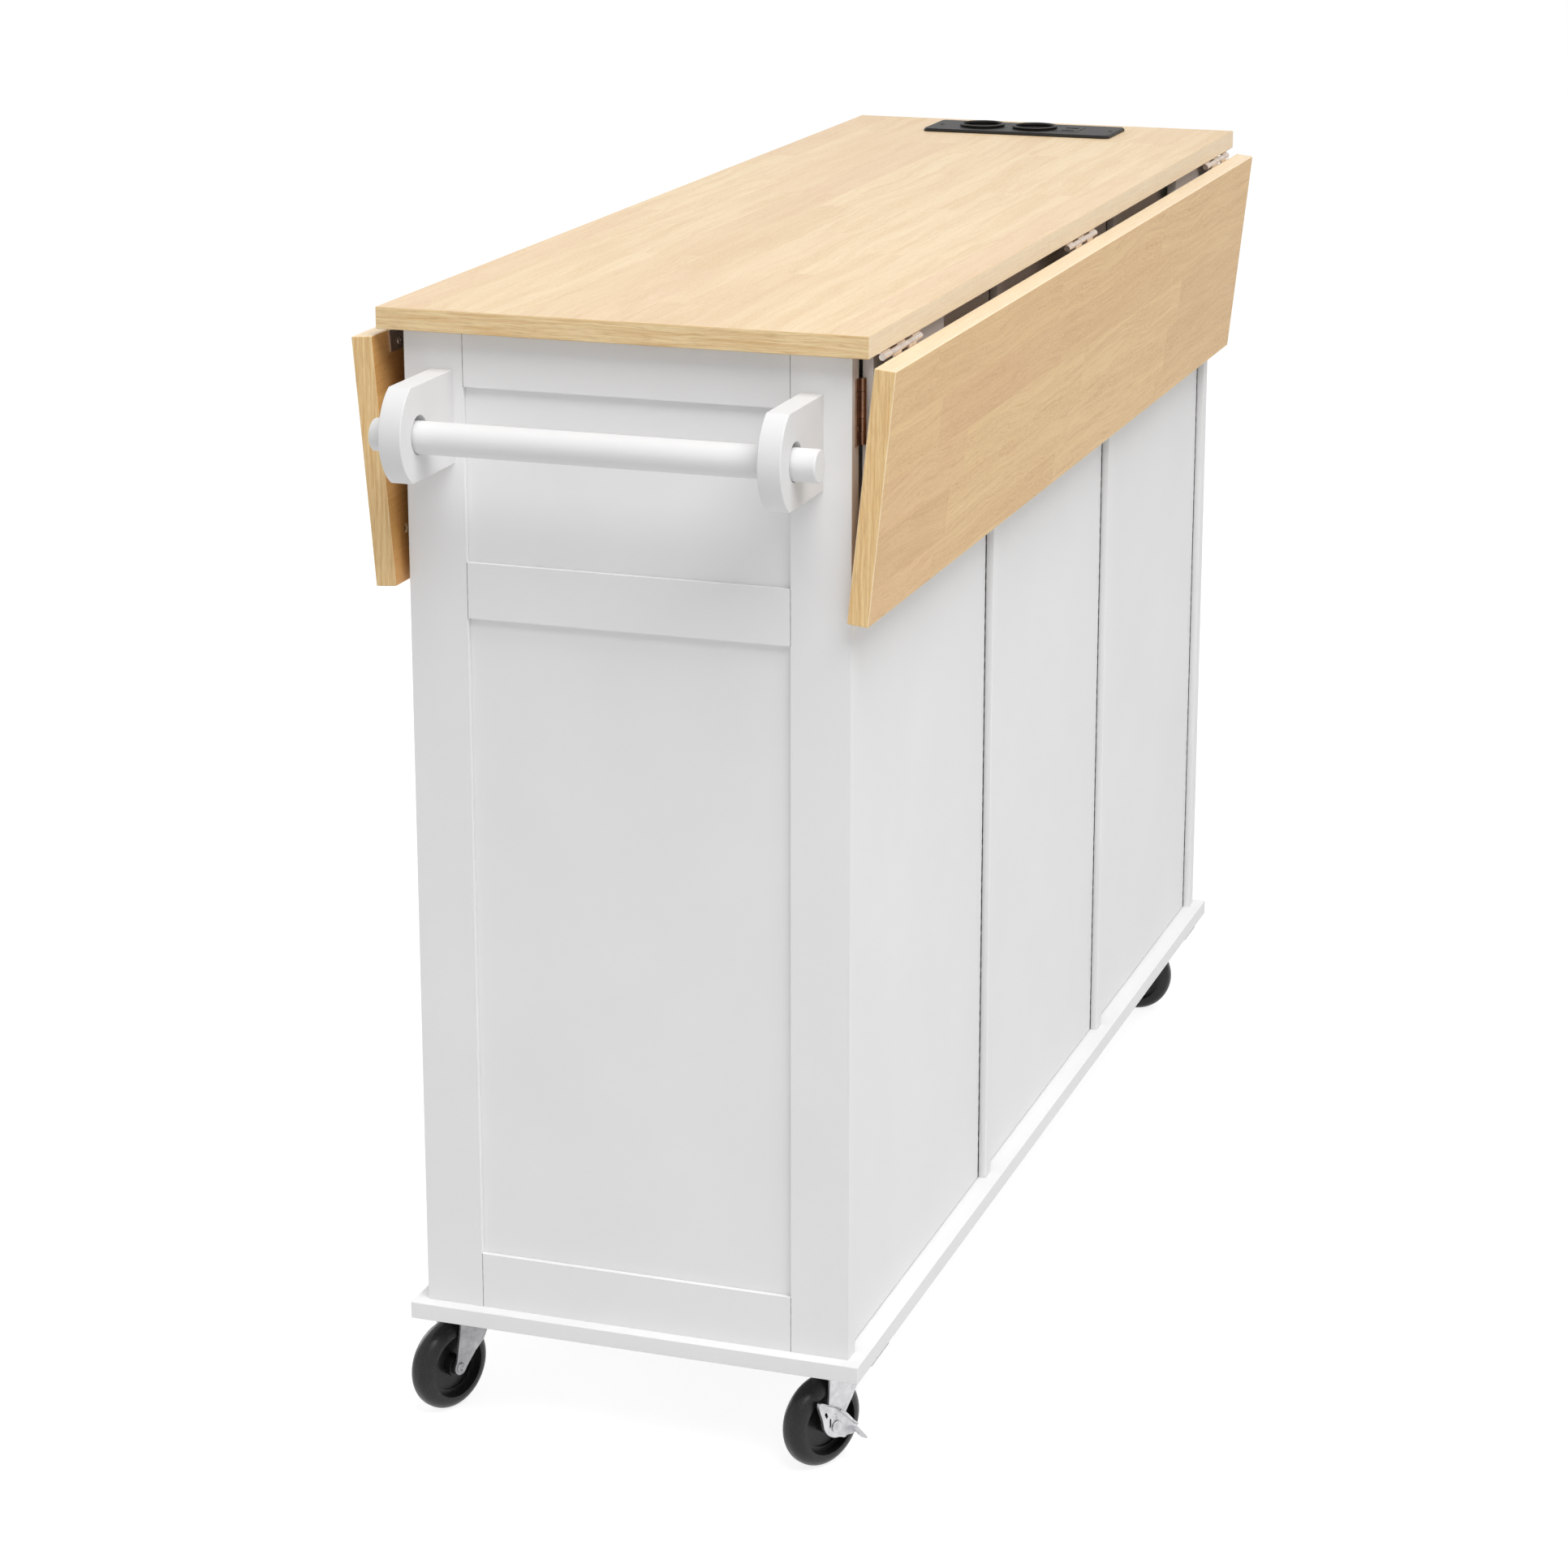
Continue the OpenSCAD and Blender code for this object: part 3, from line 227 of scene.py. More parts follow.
    # No tint, nor the painted shade it carries, on the long edges, and a weak one on the ends, so
    # the long edges stay pale as a painted highlight
    plain = t.math("SUBTRACT", 1.0, t.math("MAXIMUM", is_edge, t.math("MULTIPLY", is_end, 0.6)))
    colour = t.mix(plain, colour, tint_and_shade, "MULTIPLY")

    # A corner's normal is between two axes
    corner = t.math("MINIMUM", t.math("ABSOLUTE", n[deep]),
                    t.math("MAXIMUM", t.math("ABSOLUTE", n[0]), t.math("ABSOLUTE", n[across])))
    # Corners: a dark seam line on the top, and a painted pale highlight on the leaves
    colour = t.mix(t.math("MULTIPLY", t.span(corner, 0.3, 0.6), 0.6), colour, corner_line_and_highlight)

    # The board's other side: a pale backing on the top, and painted shade on the leaves, darker and
    # more orange
    colour = t.mix(is_back, colour, reverse, "MULTIPLY")

    relief = t.math("ADD", t.math("MULTIPLY", streak, 0.5), t.math("MULTIPLY", dash, 0.5))
    return t.finish(Base_Color=colour, Roughness=t.span(dash, 0.4, 0.75, 0.38, 0.55),
                    Normal=t.bump(relief, PORE_DEPTH, 0.6), IOR=1.5)


def white_board(name, level):
    """White lacquered board with a faint orange peel. level is its grey from 0 to 255."""
    def grey(change):
        return linear(*[level + change] * 3)

    t = Tree(name)
    p = t.place()["Object"]
    cloud = t.noise(p, 9.0, 3.0)
    peel = t.noise(p, 900.0, 2.0)
    fine = t.noise(p, 2600.0, 1.0)
    colour = t.mix(t.span(cloud, 0.3, 0.7), grey(-1), grey(2))
    colour = t.mix(t.math("MULTIPLY", t.span(fine, 0.45, 0.7), 0.25), colour, grey(-11))
    return t.finish(Base_Color=colour, Roughness=t.span(peel, 0.3, 0.7, 0.5, 0.58),
                    Normal=t.bump(peel, FINE_DEPTH, 0.5), IOR=1.45)


# Scale of the uneven polish of metal, which its speckle is a multiple of
POLISH = 260.0


def metal(name, light, dark, rough):
    """Plated steel: slow clouds of tone, and the fine speckle of the plating."""
    t = Tree(name)
    p = t.place()["Object"]
    cloud = t.noise(p, 90.0, 4.0, 0.6)
    speck = t.noise(p, POLISH * 6, 3.0, 0.7)
    fine = t.noise(p, POLISH * 12, 2.0)
    colour = t.mix(t.span(cloud, 0.32, 0.68), dark, light)
    colour = t.mix(t.math("MULTIPLY", t.span(speck, 0.42, 0.7), 0.5), colour, dark)
    return t.finish(Base_Color=colour, Metallic=1.0,
                    Roughness=t.span(t.noise(p, POLISH, 3.0), 0.3, 0.7, rough - 0.06, rough + 0.1),
                    Normal=t.bump(fine, FINE_DEPTH, 0.6))


def plastic(name, light, dark, rough, grain, depth, shine):
    """Moulded plastic with a fine spark-eroded grain: its scale and its depth in metres. shine is
    the shader's specular level."""
    t = Tree(name)
    p = t.place()["Object"]
    fine = t.noise(p, grain, 2.0, 0.6)
    speck = t.noise(p, grain * 0.6, 2.0, 0.7)
    colour = t.mix(t.span(t.noise(p, 60.0, 3.0), 0.35, 0.65), dark, light)
    colour = t.mix(t.math("MULTIPLY", t.span(speck, 0.5, 0.75), 0.22), colour, linear(84, 84, 84))
    return t.finish(Base_Color=colour, Roughness=t.span(fine, 0.3, 0.7, rough - 0.05, rough + 0.08),
                    Specular_IOR_Level=shine, Normal=t.bump(fine, depth, 0.8))


def birch_board():
    """Pale plywood of the drawer boxes, its streaks level."""
    t = Tree("birch_board")
    p = t.split(t.place()["Object"])
    streak = t.noise(t.vector(t.math("MULTIPLY", p[0], 14.0), t.math("MULTIPLY", p[1], 14.0),
                              t.math("MULTIPLY", p[2], 210.0)), 1.0, 4.0, 0.6)
    colour = t.mix(t.span(streak, 0.35, 0.7), linear(240, 225, 196), linear(222, 200, 162))
    return t.finish(Base_Color=colour, Roughness=0.5, Normal=t.bump(streak, FINE_DEPTH, 0.5))


# The leaves' tint, corners, reverse and contrast. The tint and reverse are painted shade, darker
# and more orange than the top's laminate, and the corners are a painted pale highlight
LEAF = ((0.97, 0.81, 0.54, 1.0), linear(250, 238, 210), (1.0, 0.86, 0.72, 1.0), 1.9)

MATERIALS = {
    "top": oak_laminate("oak_top", 1, 2, -1, (0.95, 0.93, 0.93, 1.0), linear(190, 160, 104),
                        (0.85, 0.82, 0.80, 1.0)),
    "back_leaf": oak_laminate("oak_back_leaf", 2, 1, -1, *LEAF),
    "front_leaf": oak_laminate("oak_front_leaf", 2, 1, 1, *LEAF),
    "white": white_board("white_board", 237),
    # A darker copy of the white board for the towel rack's brackets and rod: painted shade
    "shaded_white": white_board("shaded_white", 227),
    "birch": birch_board(),
    "nickel": metal("nickel_steel", linear(226, 222, 217), linear(196, 190, 184), 0.32),
    "warm_nickel": metal("warm_nickel_steel", linear(234, 220, 208), linear(200, 184, 172), 0.32),
    # Brown steel for the support hinges and their screws: a bronze colour, partly a painted
    # reflection of the brown light and shade behind the leaves
    "bronze_and_reflection": metal("bronze_and_reflection_steel", linear(176, 142, 120), linear(134, 104, 84), 0.42),
    "shadow": plastic("joint_shadow", linear(58, 58, 58), linear(46, 46, 46), rough=0.8,
                      grain=900.0, depth=0.00003, shine=0.1),
    # Grey strips in the seams of the ends: painted shadow
    "seam": plastic("seam_shadow_grey", linear(146, 146, 146), linear(130, 130, 130), rough=0.7,
                    grain=900.0, depth=0.00003, shine=0.2),
    "zinc": metal("zinc_steel", linear(222, 222, 224), linear(184, 184, 187), 0.38),
    "dull_zinc": metal("dull_zinc_steel", linear(190, 190, 192), linear(150, 150, 153), 0.44),
    "black": plastic("black_plastic", linear(33, 31, 28), linear(24, 22, 20), rough=0.5,
                     grain=1800.0, depth=0.00004, shine=0.3),
    "wheel": plastic("wheel_plastic", linear(32, 32, 32), linear(22, 22, 22), rough=0.3,
                     grain=1400.0, depth=0.00005, shine=0.32),
}
LOOK_OF = {
    "back_rack_bracket": "shaded_white", "front_rack_bracket": "shaded_white",
    "towel_rod": "shaded_white",
    "worktop": "top", "back_leaf": "back_leaf", "front_leaf": "front_leaf",
    "socket_housing": "black", "socket_wells": "black", "usb_module": "black",
    "socket_contacts": "nickel", "hinge_pins": "nickel", "support_hinges": "bronze_and_reflection",
    "back_leaf_hinges": "warm_nickel", "front_leaf_hinges": "warm_nickel",
    "leaf_hinge_plates": "warm_nickel",
    "right_front_fork": "dull_zinc", "left_back_fork": "dull_zinc",
    "caster_plates": "dull_zinc", "shelf_pins": "zinc", "drawer_runners": "zinc",
}


def look_of(name):
    if name in LOOK_OF:
        return LOOK_OF[name]
    if name.endswith("_box"):
        return "birch"
    if "wheel" in name:
        return "wheel"
    if "fork" in name or "brake" in name:
        return "zinc"
    if "hinge" in name or "knob" in name:
        return "nickel"
    return "white"


for node_name, piece in nodes.items():
    materials = piece.data.materials
    if not len(materials):
        materials.append(None)
    # The steel runners on a drawer's box have a material slot of their own
    several = node_name.endswith("_box") and len(materials) > 1
    for k, packed in enumerate(list(materials)):
        steel = several and "zinc" in packed.name
        materials[k] = MATERIALS["zinc" if steel else look_of(node_name)]


# ---------------------------------------------------------------- eased edges

# Widths in millimetres
EASED = {
    "worktop": 0.7, "back_leaf": 1.2, "front_leaf": 1.2, "base_board": 0.7,
    "right_rails": 0.25, "right_stiles": 0.35, "left_rails": 0.25, "left_stiles": 0.35,
    "right_partition": 0.8, "left_partition": 0.8, "back_rack_bracket": 0.8,
    "front_rack_bracket": 0.8, "back_supports": 0.7, "front_supports": 0.7,
    "right_door_frame": 0.6, "left_door_frame": 0.6, "drawer_1_front": 0.9,
    "drawer_2_front": 0.9, "drawer_3_front": 0.9, "fixed_shelves": 0.4,
    "adjustable_shelves": 0.5, "socket_housing": 0.3, "socket_wells": 0.35, "usb_module": 0.2,
    "towel_rod": 0.3, "right_back_brake": 0.25, "left_front_brake": 0.25,
}
# Eased only along the edges of its box, so those of its cutouts stay sharp
OUTER_ONLY = ("worktop",)
# Freed of the cuts in their flat faces first, which would open under the bevel
FLATTENED = ("right_back_brake", "left_front_brake", "back_leaf", "front_leaf")
FLAT_ANGLE, BEVEL_ANGLE = 1, 35
BEVEL_STEPS = 3
MERGE_DISTANCE, BOX_DISTANCE = 0.02 * MM, 0.1 * MM
SHARP_ANGLE = 0.6


def joined_up(name, outer_only):
    """Node group that joins a CAD mesh's faces at their edges and drops the normals it was packed
    with. outer_only also weights the edges of the mesh's own box, for a bevel of those alone."""
    tree = bpy.data.node_groups.new(name, "GeometryNodeTree")
    for way in ("INPUT", "OUTPUT"):
        tree.interface.new_socket("Geometry", in_out=way, socket_type="NodeSocketGeometry")

    def add(kind, ins=(), **props):
        return add_node(tree, kind, ins, **props)

    def vector(op, a, b):
        return add("ShaderNodeVectorMath", {0: a, 1: b}, operation=op).outputs[0]

    def number(op, a, b):
        return add("ShaderNodeMath", {0: a, 1: b}, operation=op).outputs[0]

    shape = add("NodeGroupInput").outputs[0]
    shape = add("GeometryNodeMergeByDistance", {0: shape, "Distance": MERGE_DISTANCE}).outputs[0]
    shape = add("GeometryNodeRemoveAttribute", {0: shape, "Name": "custom_normal"}).outputs[0]
    if outer_only:
        place = add("GeometryNodeInputPosition").outputs[0]
        box = add("GeometryNodeBoundBox", {0: shape}).outputs
        near = add("ShaderNodeSeparateXYZ", {0: vector(
            "MINIMUM", vector("SUBTRACT", place, box["Min"]),
            vector("SUBTRACT", box["Max"], place))})
        sides = [number("LESS_THAN", axis, BOX_DISTANCE) for axis in near.outputs]
        # An edge of the box is near two of its sides or more
        count = number("ADD", number("ADD", sides[0], sides[1]), sides[2])
        on_box = number("GREATER_THAN", count, 1.5)
        angle = add("GeometryNodeInputMeshEdgeAngle").outputs[0]
        sharp = number("GREATER_THAN", angle, SHARP_ANGLE)
        shape = add("GeometryNodeStoreNamedAttribute", {
            0: shape, "Name": "bevel_weight_edge", "Value": number("MULTIPLY", on_box, sharp)},
            data_type="FLOAT", domain="EDGE").outputs[0]
    shape = add("GeometryNodeSetShadeSmooth", {0: shape, "Shade Smooth": True}).outputs[0]
    add("NodeGroupOutput", {0: shape})
    return tree


def ease(piece, size, tree, limit, flatten):
    """Bevel a piece's edges by size millimetres, chosen by limit, and even out its shading."""
    piece.modifiers.new("joined", "NODES").node_group = tree
    if flatten:
        flat = piece.modifiers.new("flat", "DECIMATE")
        flat.decimate_type = "DISSOLVE"
        flat.angle_limit = math.radians(FLAT_ANGLE)
    bevel = piece.modifiers.new("bevel", "BEVEL")
    bevel.width = size * MM
    bevel.segments = BEVEL_STEPS
    bevel.limit_method = limit
    bevel.angle_limit = math.radians(BEVEL_ANGLE)
    bevel.use_clamp_overlap = False
    even = piece.modifiers.new("even", "WEIGHTED_NORMAL")
    even.keep_sharp = True


joined = joined_up("joined_up", False)
joined_box = joined_up("joined_box", True)
for node_name, size in EASED.items():
    outer = node_name in OUTER_ONLY
    ease(nodes[node_name], size, joined_box if outer else joined, "WEIGHT" if outer else "ANGLE",
         node_name in FLATTENED)


# ---------------------------------------------------------------- screws

# Sizes from the part's source, in millimetres and degrees. X counts from CABINET_X.
HINGE_L, SUPPORT_HINGE_L, DOOR_HINGE_L = 94, 50, 64
LEAF_PIN_Y, LEAF_PIN_Z, LEAF_LIFT = 196.5, 898.5, 2.3
LEAF_HINGE_X = (-570, -47, 476)
LEAF_TILT = {1: 6, -1: 4.5}
SUPPORT_PIN = (570, 181.8, 898.5 - 16)
SUPPORT_LIFT, DOOR_LIFT = 1.6, 0.2
TOP_PLATE_W, LEAF_PLATE_W, SUPPORT_PLATE_W, DOOR_PLATE_W = 16.2, 20, 10, 14
DOOR_PIN = (569.6, -181.7)
DOOR_HINGE_Z = (166, 566)
PIVOT = (535.5, 162)
CASTER_SCREW_AT, RACE_TOP = 20.5, 87.5
SOCKET_X, PLATE_TOP = -532.5, 922.2
PLATE_SCREW_Y = (-89, 86)
WELL_Y = (-46.5, 8)
FRONT_T, DRAWER_WALL_T = 16, 12

# How far over a hinge plate's width its screws are
SCREW_ACROSS = 0.68
HEAD_STEPS, HEAD_RINGS = 32, 4
# Parts of a head's rise: the height of its edge. Parts of its radius: its foot, its flat middle,
# and the cross recess with its arms' length and half width and its depth.
EDGE_RISE, FOOT, FLAT, ARM, ARM_HALF, RECESS_DEPTH = 0.12, 0.97, 0.62, 0.5, 0.11, 0.45
# Size of the recess's floor, as a part of its mouth
RECESS_TAPER = 0.72
# How far a head's foot is let into its plate, and the most a recess goes under its head
FOOT_DEPTH, RECESS_EXTRA = 0.3, 0.15
# Turn of a set's first screw and from each to the next, in radians
FIRST_TURN, NEXT_TURN = 0.4, 0.7


def mesh_piece(name, bm, look, body):
    """A piece of the scene from a bmesh in metres, which it uses up."""
    mesh = bpy.data.meshes.new(name)
    bm.to_mesh(mesh)
    bm.free()
    o = bpy.data.objects.new(name, mesh)
    bpy.context.scene.collection.objects.link(o)
    mesh.materials.append(MATERIALS[look])
    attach(o, body)


def band(bm, a, b, smooth=False):
    """The faces between two closed loops of vertices."""
    for k in range(len(a)):
        nxt = (k + 1) % len(a)
        bm.faces.new((a[k], a[nxt], b[nxt], b[k])).smooth = smooth


def circle(bm, r, z, steps):
    return [bm.verts.new((r * math.cos(2 * math.pi * k / steps),
                          r * math.sin(2 * math.pi * k / steps), z)) for k in range(steps)]


def screw_head(radius, rise, sink=0.0):
    """Mesh of a screw head that stands on Z = 0: a domed rim, a flat middle and a cross recess.
    With sink it is a flat head that lies that far under Z = 0."""
    bm = bmesh.new()
    flat_r = radius * FLAT
    loops = [circle(bm, radius * FOOT, -sink - FOOT_DEPTH, HEAD_STEPS),
             circle(bm, radius, -sink + rise * EDGE_RISE, HEAD_STEPS)]
    for k in range(1, HEAD_RINGS + 1):
        turn = k / HEAD_RINGS
        height = EDGE_RISE + (1 - EDGE_RISE) * math.sin(turn * math.pi / 2)
        loops.append(circle(bm, radius + (flat_r - radius) * turn, -sink + rise * height,
                            HEAD_STEPS))
    for a, b in zip(loops, loops[1:]):
        band(bm, a, b, smooth=True)
    bm.faces.new(reversed(loops[0]))

    top = rise - sink
    arm, half = radius * ARM, radius * ARM_HALF
    corners = [(arm, -half), (arm, half), (half, half), (half, arm), (-half, arm), (-half, half),
               (-arm, half), (-arm, -half), (-half, -half), (-half, -arm), (half, -arm),
               (half, -half)]
    cross = [bm.verts.new((x, y, top)) for x, y in corners]
    depth = min(radius * RECESS_DEPTH, rise + RECESS_EXTRA)
    recess = [bm.verts.new((x * RECESS_TAPER, y * RECESS_TAPER, top - depth))
              for x, y in corners]
    edges = [bm.edges.get((v, loops[-1][(k + 1) % HEAD_STEPS])) for k, v in enumerate(loops[-1])]
    edges += [bm.edges.new((v, cross[(k + 1) % len(cross)])) for k, v in enumerate(cross)]
    bmesh.ops.triangle_fill(bm, edges=edges, use_beauty=True)
    band(bm, cross, recess)
    bm.faces.new(recess)
    bmesh.ops.recalc_face_normals(bm, faces=bm.faces)
    bmesh.ops.scale(bm, vec=(MM, MM, MM), verts=bm.verts)
    mesh = bpy.data.meshes.new("head")
    bm.to_mesh(mesh)
    bm.free()
    return mesh


def screws(name, head, places, look, body):
    """One piece with a copy of a head at each place, turned a little differently each time."""
    bm = bmesh.new()
    for k, place in enumerate(places):
        lot = bmesh.new()
        lot.from_mesh(head)
        turn = Matrix.Rotation(NEXT_TURN * k + FIRST_TURN, 4, "Z")
        bmesh.ops.transform(lot, matrix=place @ turn, verts=lot.verts)
        bmesh.ops.recalc_face_normals(lot, faces=lot.faces)
        copy = bpy.data.meshes.new("copy")
        lot.to_mesh(copy)
        lot.free()
        bm.from_mesh(copy)
        bpy.data.meshes.remove(copy)
    mesh_piece(name, bm, look, body)


def at(x, y, z):
    return Matrix.Translation((x * MM, y * MM, z * MM))


def turned(degrees, axis):
    return Matrix.Rotation(math.radians(degrees), 4, axis)


def flipped(x=1, y=1, z=1):
    return Matrix.Diagonal((x, y, z, 1))


DOWN = turned(180, "X")
cabinet = at(CABINET_X, 0, 0)
# Radius, rise and sink of each kind of head, in millimetres
oval = screw_head(3.0, 0.8)
low = screw_head(2.5, 0.5)
flush = screw_head(1.72, 0.25, 0.35)
pan = screw_head(4.4, 2.2)
small_pan = screw_head(3.4, 1.6)


def hinge_places(length, count, width, z):
    """Places for count heads along a hinge plate that lies along X from its pin line, upside
    down and z away from it."""
    return [at(length * (k + 0.5) / count, width * SCREW_ACROSS, z) @ DOWN for k in range(count)]


on_top = hinge_places(HINGE_L, 3, TOP_PLATE_W, LEAF_LIFT)
on_leaf = hinge_places(HINGE_L, 3, LEAF_PLATE_W, LEAF_LIFT)
on_support = hinge_places(SUPPORT_HINGE_L, 2, SUPPORT_PLATE_W, SUPPORT_LIFT)
on_upright = hinge_places(DOOR_HINGE_L, 2, DOOR_PLATE_W, DOOR_LIFT)

under_top, by_supports, under_leaf = [], [], {1: [], -1: []}
for side in (1, -1):
    long_side = cabinet @ flipped(y=side)
    pin_line = long_side @ at(0, LEAF_PIN_Y, LEAF_PIN_Z)
    for x in LEAF_HINGE_X:
        under_top += [pin_line @ at(x, 0, 0) @ flipped(y=-1) @ m for m in on_top]
        hung = pin_line @ turned(-90 - LEAF_TILT[side], "X") @ at(x, 0, 0)
        under_leaf[side] += [hung @ m for m in on_leaf]
    for end in (1, -1):
        stand = long_side @ flipped(x=end) @ at(*SUPPORT_PIN) @ turned(90, "Y") @ turned(90, "X")
        by_supports += [stand @ m for m in on_support]
screws("worktop_hinge_screws", oval, under_top, "warm_nickel", "cabinet")
screws("support_hinge_screws", low, by_supports, "bronze_and_reflection", "cabinet")
screws("back_leaf_hinge_screws", oval, under_leaf[1], "warm_nickel", "back_leaf")
screws("front_leaf_hinge_screws", oval, under_leaf[-1], "warm_nickel", "front_leaf")

beside_doors = []
for side, body in ((1, "right_door"), (-1, "left_door")):
    on_door = []
    for z in DOOR_HINGE_Z:
        for face, places in ((1, beside_doors), (-1, on_door)):
            stand = (cabinet @ flipped(x=side) @ at(*DOOR_PIN, z) @ flipped(x=face)
                     @ turned(-90, "Y") @ flipped(z=-1))
            places += [stand @ m for m in on_upright]
    screws(body + "_hinge_screws", flush, on_door, "nickel", body)
screws("door_hinge_screws", flush, beside_doors, "nickel", "cabinet")

screws("caster_plate_screws", pan,
       [cabinet @ at(end * PIVOT[0] + x * CASTER_SCREW_AT,
                     side * PIVOT[1] + y * CASTER_SCREW_AT, RACE_TOP) @ DOWN
        for end in (1, -1) for side in (1, -1) for x in (1, -1) for y in (1, -1)],
       "zinc", "cabinet")
screws("socket_plate_screws", low,
       [cabinet @ at(SOCKET_X, y, PLATE_TOP) for y in PLATE_SCREW_Y], "black", "cabinet")

# Screws that hold the knobs, on the inner face of each door and inside each drawer
DOOR_DEPTH, DRAWER_DEPTH = FRONT_T, FRONT_T + DRAWER_WALL_T
for body, depth in (("right_door", DOOR_DEPTH), ("left_door", DOOR_DEPTH),
                    ("drawer_1", DRAWER_DEPTH), ("drawer_2", DRAWER_DEPTH),
                    ("drawer_3", DRAWER_DEPTH)):
    low_corner, high_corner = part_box(body + "_knob")
    middle = (Vector(low_corner) + Vector(high_corner)) / 2 / MM
    screws(body + "_knob_screw", small_pan,
           [at(middle.x, high_corner[1] / MM + depth, middle.z) @ turned(-90, "X")],
           "zinc", body)


# ---------------------------------------------------------------- joint lines

# Distance between a line's rows, its depth, and how its phase goes on from line to line
LINE_STEP, LINE_DEPTH, LINE_PHASE = 3, 0.4, 2.3  # millimetres, millimetres, radians


def joint_line(bm, where, across, inward, z0, z1, half, phase):
    """A strip of painted shadow in a joint along Z, a little uneven in width. where, across and
    inward are (x, y): its place, the way over the joint and the way in."""
    steps = max(2, round((z1 - z0) / LINE_STEP))
    rows = []
    for k in range(steps + 1):
        z = z0 + (z1 - z0) * k / steps
        uneven = 0.2 * math.sin(1.7 * k + phase) + 0.12 * math.sin(4.1 * k + 2 * phase)
        reach = half * (1 + uneven)
        rows.append([bm.verts.new((where[0] + across[0] * a + inward[0] * d,
                                   where[1] + across[1] * a + inward[1] * d, z))
                     for a, d in ((-reach, 0.0), (reach, 0.0), (0.0, LINE_DEPTH))])
    for a, b in zip(rows, rows[1:]):
        band(bm, a, b)
    bm.faces.new(rows[0])
    bm.faces.new(rows[-1])


def joint_lines(name, lines, look):
    bm = bmesh.new()
    for k, line in enumerate(lines):
        joint_line(bm, *line, phase=LINE_PHASE * k)
    bmesh.ops.recalc_face_normals(bm, faces=bm.faces)
    bmesh.ops.scale(bm, vec=(MM, MM, MM), verts=bm.verts)
    mesh_piece(name, bm, look, "cabinet")


# Between the stiles and rails of the ends: grey strips, a painted shadow of the seams
RAIL_Z = ((104.3, 149.8), (678, 722), (859, 901.8))
STILE_X, STILE_Y, GROOVE = 587, 131, 0.24
joint_lines("end_joint_lines",
            [((CABINET_X + side * (STILE_X - GROOVE), y), (0, 1), (-side, 0), z0, z1, GROOVE)
             for side in (1, -1) for y in (-STILE_Y, STILE_Y) for z0, z1 in RAIL_Z], "seam")

# Painted shadow: dark strips over the gaps at the sides of the back panels
BAY_X, BAY_W, BACK_FACE_Y, BACK_Z = (-571, -185, 201), 370, 172.6, (104.5, 901.5)
SHADOW_HALF = 1.6
joint_lines("back_joint_lines",
            [((CABINET_X + x + inset, BACK_FACE_Y), (1, 0), (0, -1), *BACK_Z, SHADOW_HALF)
             for x in BAY_X for inset in (SHADOW_HALF, BAY_W - SHADOW_HALF)], "shadow")


# ---------------------------------------------------------------- socket rims

def lathe(name, profile, look, body, where, steps=96):
    """A closed ring turned from a profile of (radius, height) points in millimetres."""
    bm = bmesh.new()
    loops = [circle(bm, r, z, steps) for r, z in profile]
    for a, b in zip(loops, loops[1:] + loops[:1]):
        band(bm, a, b, smooth=True)
    bmesh.ops.recalc_face_normals(bm, faces=bm.faces)
    bmesh.ops.transform(bm, matrix=where @ Matrix.Scale(MM, 4), verts=bm.verts)
    mesh_piece(name, bm, look, body)


# Flared rim of a socket, over the slots for its earth strips: its radius and height from the plate
RIM = [(19.44, -0.4), (19.44, 2.5), (19.7, 2.82), (20.2, 2.98), (22.0, 2.98), (22.7, 2.8),
       (23.0, 2.3), (22.8, 1.7), (22.2, 0.9), (21.8, 0.1), (21.7, -0.4)]
for k, y in enumerate(WELL_Y):
    lathe(f"socket_rim_{k + 1}", RIM, "black", "cabinet", cabinet @ at(SOCKET_X, y, PLATE_TOP))


# ---------------------------------------------------------------- floor, light and camera

FLOOR_HALF = 30.0
# What the floor reflects onto the part, and what is seen of it: grey that takes the shadow, and
# a glow that brings it up to white
FLOOR_GREY, SEEN_GREY, SEEN_GLOW = 0.7, 0.34, 0.83
# Strength of the sky level with the horizon and overhead, and the height where the first starts
SKY_LEVEL, SKY_ABOVE, SKY_FROM = 0.42, 0.5, -0.1


def grey(level):
    return (level, level, level, 1)


def floor():
    """A white floor with the part's shadow on it."""
    mesh = bpy.data.meshes.new("floor")
    h = FLOOR_HALF
    mesh.from_pydata([(-h, -h, 0), (h, -h, 0), (h, h, 0), (-h, h, 0)], [], [(0, 1, 2, 3)])
    o = bpy.data.objects.new("floor", mesh)
    bpy.context.scene.collection.objects.link(o)
    t = Tree("floor")
    t.tree.nodes.remove(t.shader)
    path = t.add("LightPath").outputs
    seen = t.math("MAXIMUM", path["Is Camera Ray"], path["Is Glossy Ray"])
    plain = t.add("BsdfDiffuse", {"Color": grey(FLOOR_GREY)}).outputs[0]
    shaded = t.add("BsdfDiffuse", {"Color": grey(SEEN_GREY)}).outputs[0]
    glow = t.add("Emission", {"Color": grey(1), "Strength": SEEN_GLOW}).outputs[0]
    pale = t.add("AddShader", {0: shaded, 1: glow}).outputs[0]
    both = t.add("MixShader", {0: seen, 1: plain, 2: pale}).outputs[0]
    put(t.tree, t.tree.nodes["Material Output"].inputs[0], both)
    mesh.materials.append(t.material)


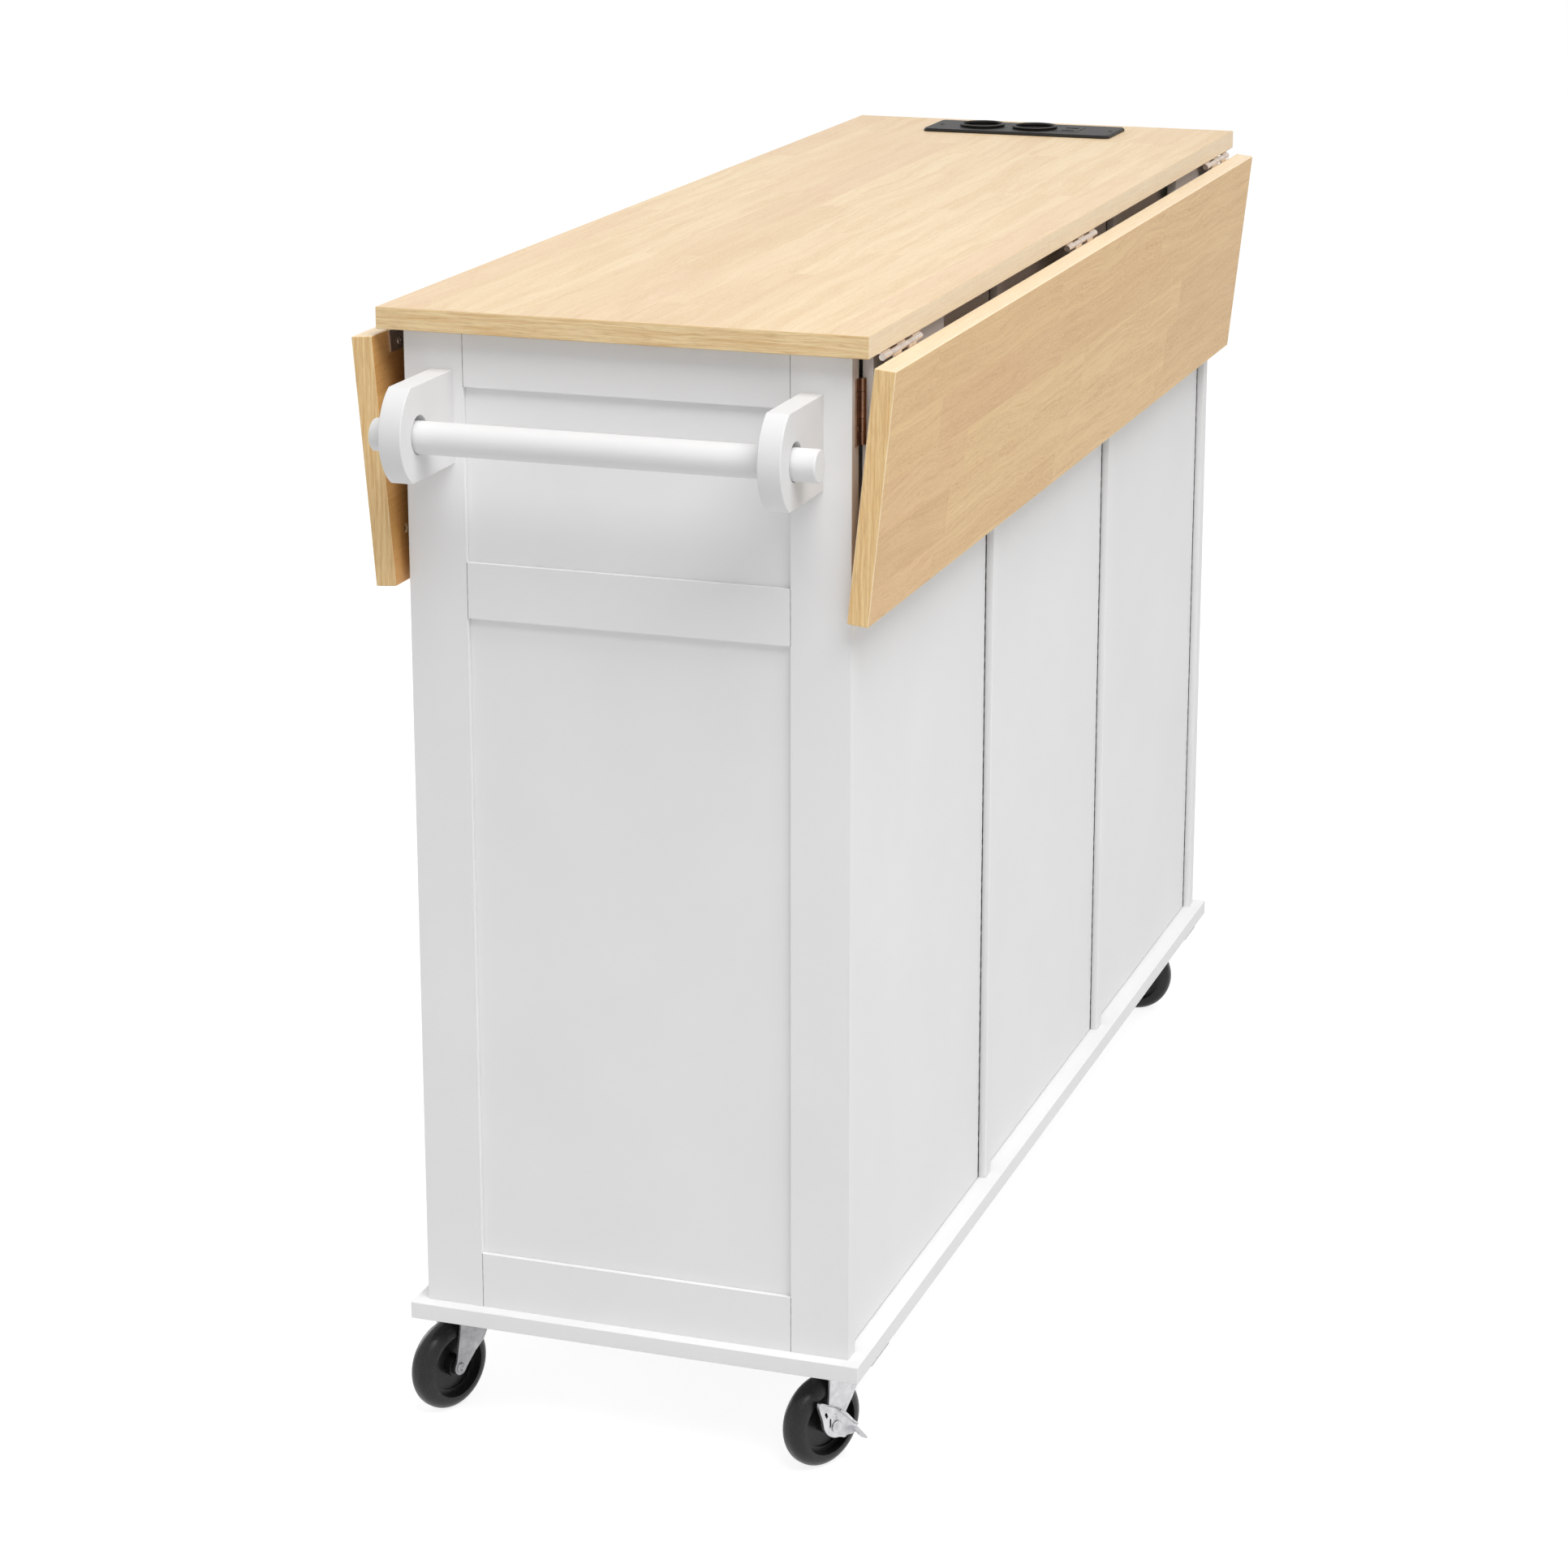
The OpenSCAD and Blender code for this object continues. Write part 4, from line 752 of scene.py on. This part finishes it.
def world():
    """Even light from all round, brighter above, with white behind the part."""
    w = bpy.data.worlds.new("studio")
    bpy.context.scene.world = w
    w.use_nodes = True
    tree = w.node_tree

    def add(kind, ins=(), **props):
        return add_node(tree, "ShaderNode" + kind, ins, **props).outputs

    path = add("LightPath")
    height = add("SeparateXYZ", {0: add("TexCoord")["Generated"]})[2]
    sky = add("MapRange", {0: height, 1: SKY_FROM, 2: 1.0, 3: SKY_LEVEL, 4: SKY_ABOVE})[0]
    seen = add("Math", {0: path["Is Camera Ray"], 1: path["Is Glossy Ray"]},
               operation="MAXIMUM")[0]
    strength = add("Mix", {0: seen, 2: sky, 3: 1.0})[0]
    back = tree.nodes["Background"]
    put(tree, back.inputs["Strength"], strength)
    put(tree, back.inputs["Color"], grey(1))


def lamp(name, where, aim, size, power):
    data = bpy.data.lights.new(name, "AREA")
    data.shape = "DISK"
    data.size = size
    data.energy = power
    o = bpy.data.objects.new(name, data)
    o.location = where
    o.rotation_mode = "QUATERNION"
    o.rotation_quaternion = (Vector(aim) - Vector(where)).to_track_quat("-Z", "Y")
    bpy.context.scene.collection.objects.link(o)


# The photo's camera: degrees, metres, and the lens and sensor in millimetres
AZIMUTH, ELEVATION, ROLL = 108.971, 14.956, -0.051
CAMERA_AT = (3.20976, 1.042275, 1.433276)
LENS, SENSOR, SHIFT_UP = 89.505, 36, -0.09
FAR_CLIP = 100


def camera():
    azimuth, elevation, roll = (math.radians(a) for a in (AZIMUTH, ELEVATION, ROLL))
    forward = Vector((-math.sin(azimuth) * math.cos(elevation),
                      math.cos(azimuth) * math.cos(elevation), -math.sin(elevation)))
    right = Vector((math.cos(azimuth), math.sin(azimuth), 0))
    up = right.cross(forward)
    right, up = (right * math.cos(roll) + up * math.sin(roll),
                 up * math.cos(roll) - right * math.sin(roll))
    turn = Matrix((right, up, -forward)).transposed().to_4x4()
    data = bpy.data.cameras.new("camera")
    data.sensor_width = SENSOR
    data.lens = LENS
    data.shift_y = SHIFT_UP
    data.clip_end = FAR_CLIP
    o = bpy.data.objects.new("camera", data)
    o.matrix_world = Matrix.Translation(CAMERA_AT) @ turn
    bpy.context.scene.collection.objects.link(o)
    bpy.context.scene.camera = o


floor()
world()
lamp("key", where=(2.0, 2.0, 5.2), aim=(0.1, 0.1, 0.7), size=4.4, power=250)
lamp("fill", where=(-1.4, -3.4, 1.2), aim=(-0.05, 0.0, 0.5), size=2.4, power=45)
camera()
bpy.context.scene.view_settings.view_transform = "Standard"
